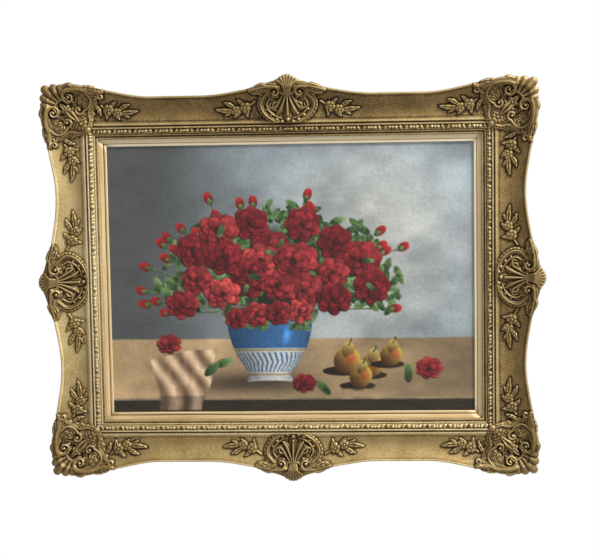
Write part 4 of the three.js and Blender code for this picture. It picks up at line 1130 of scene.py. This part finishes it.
# Bowl: half its width runs from foot to rim as a power of a quarter sine. Below, a band of chevrons on
# white; above, blue; gold lines between them
def paintBowl(painter):
    bowl = pictureSet["bowl"]
    x, z = painter.x - bowl["middle"], painter.z
    up = clamp01((z - bowl["foot"]) / (bowl["top"] - bowl["foot"]))
    above = clamp01((up - bowl["footHeight"]) / (1 - bowl["footHeight"]))
    swell = np.sin(np.pi / 2 * above) ** bowl["swell"]
    half = bowl["footHalf"] + (bowl["rimHalf"] - bowl["footHalf"]) * swell
    half = half + bowl["footFlare"] * bell(up, bowl["flareHeight"])
    across = x / half
    facing = np.sqrt(np.maximum(1 - (across * 0.96) ** 2, 0))
    base, toSide = bowl["side"]
    lit = bowl["dim"] + bowl["facing"] * facing * (base + toSide * across) + bowl["fleck"] * painter.fleck
    lit = lit + bowl["shine"] * bell(fromOval(across, up, bowl["shineAt"], bowl["shineSize"]), 1)
    blue = srgb(bowl["blue"])
    colour = mixed(srgb(bowl["white"]), blue, smoothStep((up - bowl["blueFrom"]) / bowl["lineSoftness"]))
    turn = np.arcsin(np.clip(across, -1, 1))
    fromMiddle = np.abs(up - bowl["chevronAt"])
    chevron = np.abs((turn * bowl["chevrons"] / np.pi + bowl["chevronSlope"] * fromMiddle) % 1 - 0.5)
    marks = smoothStep((bowl["chevronHalf"] - np.abs(chevron - 0.25)) / 0.05)
    marks = marks * smoothStep((bowl["chevronReach"] - fromMiddle) / bowl["lineSoftness"])
    colour = mixed(colour, blue * bowl["chevronBlue"], bowl["chevronCover"] * marks)
    for height in bowl["goldLines"]:
        colour = mixed(colour, srgb(bowl["gold"]), bell(up - height, bowl["goldWidth"]))
    foot = bowl["foot"] - bowl["footBow"] * across ** 2
    edge = np.min([half - np.abs(x), z - foot, bowl["top"] - z], 0)
    painter.lay(edge / 1.8 + 0.5, colour * lit[:, None])


# Stems, buds, leaves and blooms, then what lies over the mouth of the bowl
def paintBouquet(painter):
    random = painter.random
    group, mouthSet, bowl = pictureSet["bouquet"], pictureSet["mouth"], pictureSet["bowl"]
    foot, reach = np.array(group["foot"], float), np.array(group["reach"], float)
    mouthX, mouthZ = bowl["middle"], bowl["top"]

    # a place in the fan of the bouquet, evenly spread between two shares of its reach
    def spot(low, high):
        angle = random.uniform(-group["overhang"], math.pi + group["overhang"])
        share = math.sqrt(random.uniform(low ** 2, high ** 2))
        return foot + reach * share * np.array([math.cos(angle), math.sin(angle)])

    budSpots = [spot(*group["budReach"]) for _ in range(group["buds"])]
    stems = group["stems"]
    for end in budSpots:
        start = (mouthX + random.uniform(-stems["spread"], stems["spread"]), mouthZ + stems["rise"])
        painter.stem(start, end, stems["width"], random.uniform(-stems["bow"], stems["bow"]))
    fromHeart = fromOval(painter.x, painter.z, group["heart"], group["heartSize"])
    painter.lay((1 - fromHeart) * group["heartSharpness"], srgb(group["heartColour"]))
    for k in range(group["leaves"]):
        place = spot(0, group["leafReach"][k % 2])
        painter.leaf(place, random.uniform(*group["leafLength"]), random.uniform(0, pictureSet["turn"]))
    paintBowl(painter)
    for end in budSpots:
        turn = math.atan2(end[1] - mouthZ, end[0] - mouthX)
        painter.dab(end, *group["budSize"], turn, *pair(pictureSet["bud"]))
        cup = end - group["cupBelow"] * np.array([math.cos(turn), math.sin(turn)])
        painter.dab(cup, *group["cupSize"], turn, *pair(pictureSet["cup"]))
    # blooms keep a distance from each other, but now and then one may come closer
    places = []
    while len(places) < group["blooms"]:
        trial = spot(0, group["bloomReach"])
        apart = all(np.hypot(*(trial - place)) > group["bloomGap"] for place in places)
        if apart or random.random() < group["gapLetGo"]:
            places.append(trial)
    for k, place in enumerate(places):
        painter.poppy(place, random.uniform(*group["bloomRadius"]), random.uniform(*group["bloomFace"]))
        if k % 3 == 0:
            beside = place + random.uniform(-group["strayReach"], group["strayReach"], 2)
            painter.leaf(beside, random.uniform(*group["strayLength"]), random.uniform(0, pictureSet["turn"]))
    for _ in range(mouthSet["leaves"]):
        x = mouthX + random.uniform(-mouthSet["spread"], mouthSet["spread"])
        z = mouthZ + random.uniform(*mouthSet["leafRise"])
        painter.leaf((x, z), random.uniform(*mouthSet["leafLength"]), random.uniform(*mouthSet["leafTurn"]))
    for across in mouthSet["blooms"]:
        place = (mouthX + across, mouthZ + random.uniform(*mouthSet["bloomRise"]))
        painter.poppy(place, random.uniform(*mouthSet["bloomRadius"]), mouthSet["bloomFace"])


# Pears: a shadow, body, neck and blush, then the stem
def paintPears(painter):
    stem = pictureSet["pearStem"]
    for x, z, radius in pictureSet["pears"]:
        for colours, (offX, offZ), lift, (length, width), turn, options in pictureSet["pearParts"]:
            place = (x + offX, z + offZ + radius * lift)
            painter.dab(place, radius * length, radius * width, turn, *pair(colours), **options)
        start, end = ((x + offX, z + radius * lift) for offX, lift in (stem["from"], stem["to"]))
        painter.stem(start, end, stem["width"], stem["bow"])


# The picture from back to front, then the tooth of the canvas over it
def paintPicture(x, z):
    painter = Painter(x, z, pictureSet["seed"])
    paintGround(painter)
    paintCloth(painter)
    paintBouquet(painter)
    paintPears(painter)
    for place in pictureSet["fallenLeaves"]:
        painter.leaf(place, pictureSet["fallenLength"], painter.random.uniform(0, pictureSet["fallenTurn"]))
    for place, radius, face in pictureSet["fallenBlooms"]:
        painter.poppy(place, radius, face)
    tooth = valueNoise(x, z, pictureSet["toothMm"], pictureSet["toothSeed"]) - 0.5
    return painter.colour * (1 + pictureSet["tooth"] * tooth)[:, None]


# Canvas: linen round the stretcher, with its painted face in fine cells where the picture is detailed
canvasSet = {
    "halfWidth": 400, "halfHeight": 296.5, "front": 31.1, "back": 10.9, "thickness": 0.8, "turnBack": 15.1,
    "fineX": (-235, 215), "fineZ": (-235, 195), "fineStep": 1.9, "coarseStep": 4.2,
    "flat": (0.862, 0.655), "sideColour": "#cfc8b6",
    "look": {
        "strokeMm": 7, "strokeDark": 0.82, "strokeLight": 1.1, "weaveMm": 2.4, "weaveShare": 0.18,
        "bump": 0.3, "rough": 0.42,
    },
    "linen": {
        "threadMm": 1.4,  # coarser than real thread, so that it shows
        "slubMm": 6.25, "weaveShare": 0.25, "bump": 0.5, "rough": 0.85,
        "tones": [(0.35, "#7d6e56"), (0.7, "#a8987a"), (1.0, "#bfb092")],
    },
}


# Uneven grid lines: fine between two places, coarse outside them
def gridLines(half, fine):
    low = np.linspace(-half, fine[0], int((fine[0] + half) / canvasSet["coarseStep"]) + 1)
    middle = np.linspace(fine[0], fine[1], int((fine[1] - fine[0]) / canvasSet["fineStep"]) + 1)
    high = np.linspace(fine[1], half, int((half - fine[1]) / canvasSet["coarseStep"]) + 1)
    return np.concatenate([low[:-1], middle, high[1:]])


# A painted front grid; rings from its edge run down the sides, over the back and inside
def buildCanvas(paint, linen):
    halfX, halfZ = canvasSet["halfWidth"], canvasSet["halfHeight"]
    lineX, lineZ = gridLines(halfX, canvasSet["fineX"]), gridLines(halfZ, canvasSet["fineZ"])
    x, z = np.meshgrid(lineX, lineZ, indexing="ij")
    rows, columns = x.shape
    front = np.stack([x, np.full_like(x, -canvasSet["front"]), z], -1).reshape(-1, 3)
    number = np.arange(rows * columns).reshape(rows, columns)
    loop = np.concatenate([number[:-1, 0], number[-1, :-1], number[:0:-1, -1], number[0, :0:-1]])
    thick, turn = canvasSet["thickness"], canvasSet["turnBack"]
    outside, inside = canvasSet["back"], canvasSet["back"] + thick
    under = canvasSet["front"] - thick
    rings = [(0, outside), (turn, outside), (turn, inside), (thick, inside), (thick, under)]
    faces = gridQuads(rows, columns)[:, ::-1]
    points, quads, previous = [front], [faces], loop
    start = len(front)
    for inset, depth in rings:
        ring = front[loop] * [1 - inset / halfX, 1, 1 - inset / halfZ]
        ring[:, 1] = -depth
        points.append(ring)
        current = start + np.arange(len(loop))
        quads.append(np.stack([previous, current, np.roll(current, -1), np.roll(previous, -1)], -1))
        previous, start = current, start + len(loop)
    points, quads = np.concatenate(points), np.concatenate(quads)
    colours = np.ones((len(points), 4))
    painted = linearRows(np.clip(paintPicture(x.ravel(), z.ravel()), 0, 1))
    colours[:len(front), :3] = painted * pictureSet["gain"]
    colours[len(front):, :3] = linearRows(srgb(canvasSet["sideColour"]))
    points[:, 2] += sizes["centreZ"]
    onBack = (np.arange(len(quads)) >= len(faces)).astype(int)
    caps = [previous[::-1]]
    piece = buildPiece("canvas", points, quads, [paint, linen], caps, faceMaterials=onBack,
                       colours=colours)


aimCamera()
lightRoom()
layFloor()
print("camera and room ready")

railGilding = antiqueGilding("antique gilding on gesso", railSet["look"])
castGilding = antiqueGilding("antique gilding on castings", castSet["look"])
slipLeaf = paleLeaf("pale leaf on the slip", slipSet["look"])
pineAcross = sawnPine("sawn pine across", pineSet["across"])
pineUpright = sawnPine("sawn pine upright", pineSet["upright"])
print("materials ready")

sprayReliefs = {place: carveSpray(stemStart) for place, stemStart in spraySet["stems"].items()}
centreRelief = carveCentre()
cornerRelief = carveCorner()
for name, quarter, half, away, waist in sides:
    pine = pineUpright if quarter % 2 else pineAcross
    buildRail(f"rail_{name}", quarter, half, away, waist, railGilding, pine)
    buildSlip(f"slip_{name}", quarter, half, away, slipLeaf)
print("rails and slips ready")

for name, quarter, half, away, waist in sides:
    crest = waist + sizes["crestRise"]

    def onCentre(s, v, height):
        t = np.maximum(v + crest, sizes["coveStart"] + 1)
        return onRail(quarter, away, s, bedDepth(half, waist, s, t) + height, t)

    buildCasting(f"centre_ornament_{name}", centreRelief, centreSet, onCentre, castGilding)
    for hand in (-1, 1):
        for place, run in (("centre", 1), ("corner", -1)):
            start = spraySet["starts"][place] + (half if place == "corner" else 0)

            def onSpray(p, q, height):
                s, t = hand * (start + run * p), spraySet["hollow"] + q
                return onRail(quarter, away, s, bedDepth(half, waist, s, t) + height, t)

            pieceName = f"spray_{name}_{place}_{'a' if hand < 0 else 'b'}"
            buildCasting(pieceName, sprayReliefs[place], spraySet, onSpray, castGilding)
corners = [("top_right", 1, 1), ("bottom_right", 1, -1), ("bottom_left", -1, -1), ("top_left", -1, 1)]
for name, across, up in corners:
    def onCorner(a, b, height):
        wide = bedDepth(sizes["sightX"], sizes["topWaist"], sizes["sightX"] + a, b)
        tall = bedDepth(sizes["sightZ"], sizes["sideWaist"], sizes["sightZ"] + b, a)
        depth = np.where(b > a, wide, tall) + height
        x, z = across * (sizes["sightX"] + a), up * (sizes["sightZ"] + b) + sizes["centreZ"]
        return np.stack([x, -depth, z], -1)

    buildCasting(f"corner_ornament_{name}", cornerRelief, cornerSet, onCorner, castGilding)
print("castings ready")

oil = oilPaint("oil paint with satin varnish", canvasSet["look"])
buildCanvas(oil, rawLinen("raw linen", canvasSet["linen"]))
print("canvas ready")

# Stretcher bars and keys keep their solids and get their own grain
for name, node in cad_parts.items():
    if name.startswith("stretcher"):
        upright = "left" in name.split("_")[1:] or "right" in name.split("_")[1:]
        node.data.materials.clear()
        node.data.materials.append(pineUpright if upright else pineAcross)
print("stretcher ready")
